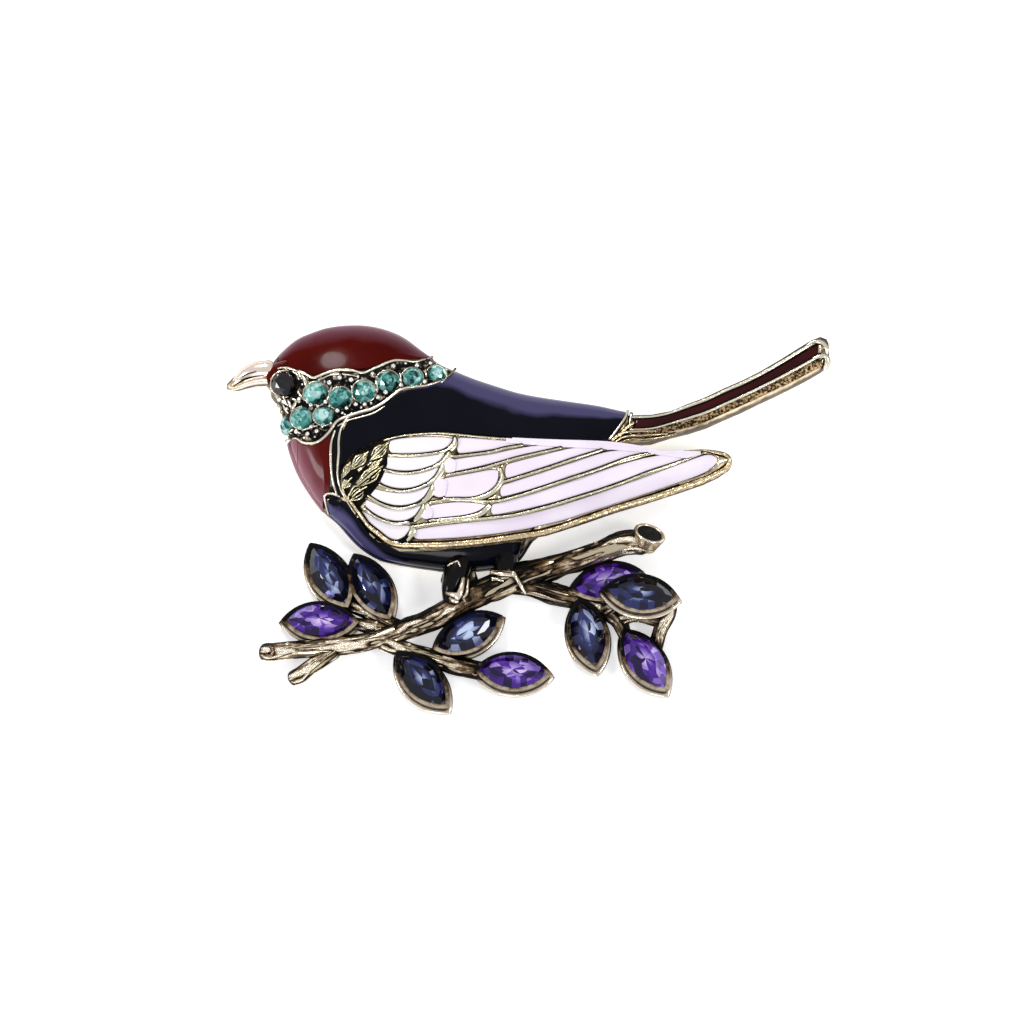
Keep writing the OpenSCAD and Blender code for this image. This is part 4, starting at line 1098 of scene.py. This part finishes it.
# Tail: rims beside the channel, painted bright on their lit side, and the fanned feathers at its root
def tail_metal():
    def across(share):
        return [(x, low + (high - low) * share) for x, low, high in TAIL]
    wall = rows_between(68, 98.8, 40, across(0.03), across(0.3))
    laid_sheet("tail_wall", wall, 5, 0.04, 0.12, tail_brown, "antique_gold", 0.05)
    rims, shade_beds = [], []
    lined(across(0.35), (0.24, 0.32, 0.34, 0.34), rims, shade_beds, margin=0.8, shift=0.1, step=0.25)
    lined(across(0.87), (0.3, 0.42, 0.46, 0.46), rims, shade_beds, margin=0.7, shift=-0.06, step=0.25)
    lined([(66.9, 45.6), (66.8, 47.4), (67.1, 49)], (0.24, 0.3), rims, shade_beds)
    rims += [photo_rod(rows) for rows in TAIL_TIPS]
    rims.append(plan_wire([(63.4, 44.4), (64.6, 46), (66, 48.2), (66.5, 49.6)], (0.3, 0.34), step=0.25))
    one_piece("tail_rims", rims, wire_gold)
    one_piece("tail_shade_beds", shade_beds, patina_and_shade_black)
    fan = [plan_wire(line, (0.34, 0.4, 0.36, 0.2), sink=0.15, step=0.25) for line in TAIL_FAN]
    one_piece("tail_root_feathers", fan, rim_gold)


LEGS = [
    [(461, 553, 2.5, 1.6), (459, 563, 2.8, 1.55), (456, 575, 3.1, 1.45), (452, 588, 3.2, 1.2),
     (450, 599, 2.9, 0.85)],
    [(504, 549, 2.4, 1.7), (505, 560, 2.7, 1.5), (505, 570, 3, 1.3), (503, 581, 3, 0.9)],
]
TOES = [
    [(464, 578, 4.3, 0.3), (462.5, 585, 4.6, 0.36), (460.5, 592, 4.6, 0.42), (457.5, 597, 4.4, 0.44)],
    [(447, 592, 3.9, 0.22), (452, 593.5, 4.3, 0.34), (458, 594.5, 4.5, 0.42), (461, 593, 4.6, 0.4)],
    [(451, 597, 3.9, 0.26), (454, 600, 4.1, 0.3), (458, 600.5, 4.2, 0.28)],
    [(468.5, 579, 4.0, 0.16), (467.5, 588, 4.3, 0.24), (466.5, 592, 4.2, 0.3), (464, 596, 4.1, 0.24)],
    [(493.5, 572.5, 4.1, 0.2), (500, 573.5, 4.4, 0.26), (508, 574.2, 4.4, 0.26), (514.5, 575, 4.3, 0.24)],
    [(492, 577.5, 4.0, 0.14), (498, 579, 4.2, 0.18), (503, 580.5, 4.1, 0.14)],
    [(514.5, 574.5, 4.3, 0.2), (518, 580, 4.4, 0.24), (521.5, 586.5, 4.2, 0.22), (525.5, 593, 3.8, 0.18)],
    [(448, 565.5, 4.0, 0.1), (453, 562.5, 4.3, 0.12), (458, 560.8, 4.4, 0.12), (460.5, 566, 4.4, 0.1)],
]


# Black legs with pale gold toes; the toes' brightness on one side is painted light
def legs_and_feet():
    one_piece("dark_legs", [photo_rod(rows, 16) for rows in LEGS], leg_black)
    one_piece("gold_toes", [photo_rod(rows) for rows in TOES], cup_gold)


BEAK_HALVES = [
    [(0.5, 54.4, 1.9, 0.22), (1.6, 55.2, 2.3, 0.5), (3.2, 56.2, 2.8, 0.85), (5, 56.7, 3.1, 1.05),
     (7.2, 56.9, 3.2, 1.1)],
    [(0.7, 54, 1.8, 0.2), (2, 54.5, 2.2, 0.42), (3.6, 55.2, 2.5, 0.6), (5.4, 55.5, 2.8, 0.66),
     (7.2, 55.5, 2.9, 0.66)],
]
BEAK_GROOVES = [
    [(231, 385, 2.5, 0.06), (240, 379.5, 3.2, 0.1), (250, 376, 3.6, 0.1), (262, 374, 3.8, 0.08)],
    [(236, 379, 2.9, 0.05), (244, 373.5, 3.7, 0.07), (254, 370.5, 4.1, 0.05)],
]


# Beak: two smooth halves with a dark groove between them and one above
def beak():
    one_piece("beak_halves", [tube(plan_path(rows, 0.3), 16) for rows in BEAK_HALVES], beak_gold)
    # The dark grooves are partly patina, partly painted shade
    one_piece("beak_grooves", [photo_rod(rows, 6) for rows in BEAK_GROOVES], patina_and_shade_black)


# Pits where side twigs broke off
def pits():
    pieces = []
    for col, row, size, direction in ((271.6, 650, 0.5, (-0.6, -0.1, 0.8)), (475.5, 670.6, 0.35, (-0.3, 0, 1))):
        place = Matrix.Translation(spot(col, row, 0.02)) @ facing(direction)
        pieces.append(set_down(ring(size, size * 0.35, 24), place))
    one_piece("twig_pits", pieces, pit_brown, degrees=60)


# The pin at the back with its edges broken
def pin():
    piece = copy_of("pin", "back_pin")
    apply(piece, "BEVEL", width=0.0002, segments=2, limit_method="ANGLE", angle_limit=math.radians(50))
    finished(smooth(piece, 40), gold, "pin_metal", "pin")


# Lamps: a place in metres, a width in metres and a power in watts
LAMPS = (
    ("back_softbox", (-0.16, 0.42, 0.46), 0.13, 1.5), ("left_softbox", (-0.5, -0.1, 0.34), 0.14, 0.8),
    ("right_softbox", (0.42, -0.16, 0.46), 0.16, 1.2), ("front_softbox", (-0.1, -0.5, 0.34), 0.2, 0.7),
)
FLOOR_Z = -0.0001
# What the camera looks at and how far away it stands
AIM = Vector((-0.00184, 0.00005, 0.003))
CAMERA_AWAY = 0.491
LENS = 150


# A lamp or a camera at a place, turned to what it looks at
def looking(name, data, place, aim):
    thing = in_scene(name, data)
    thing.location = place
    thing.rotation_euler = (aim - Vector(place)).to_track_quat("-Z", "Y").to_euler()
    return thing


def studio():
    floor = added(bpy.ops.mesh.primitive_plane_add, size=3, location=(0, 0, FLOOR_Z))
    floor.name = "studio_floor"
    f = Finish("studio_floor")
    floor.data.materials.append(f.shade({
        "Base Color": f.ramp(f.noise(8, 2), (0.3, (0.9, 0.9, 0.9)), (0.7, (0.92, 0.92, 0.92))),
        "Roughness": 0.8, "Specular IOR Level": 0.1, "Emission Color": (1, 1, 1, 1), "Emission Strength": 0.5,
    }))
    for name, place, size, watts in LAMPS:
        data = bpy.data.lights.new(name, "AREA")
        data.shape = "DISK"
        data.size = size
        data.energy = watts
        looking(name, data, place, Vector())
    scene = bpy.context.scene
    scene.world = scene.world or bpy.data.worlds.new("studio")
    scene.world.use_nodes = True
    sky = scene.world.node_tree.nodes["Background"].inputs
    sky["Color"].default_value = (0.95, 0.96, 1, 1)
    sky["Strength"].default_value = 0.5
    scene.view_settings.view_transform = "Standard"
    data = bpy.data.cameras.new("camera")
    data.lens = LENS
    data.sensor_width = 36
    data.clip_start = 0.01
    data.clip_end = 10
    place = AIM + Vector((0, -math.cos(LOOK_UP), math.sin(LOOK_UP))) * CAMERA_AWAY
    scene.camera = looking("camera", data, place, AIM)


studio()
cast_shell()
enamel_fields()
rolled_edges()
stone_band()
grain_beads()
leaf_stones()
leaf_cups()
round_stones()
stone_rings()
branch_and_twigs()
hollow_end()
wing_metal()
shoulder()
breast_lines()
dark_corners()
tail_metal()
legs_and_feet()
beak()
pits()
pin()
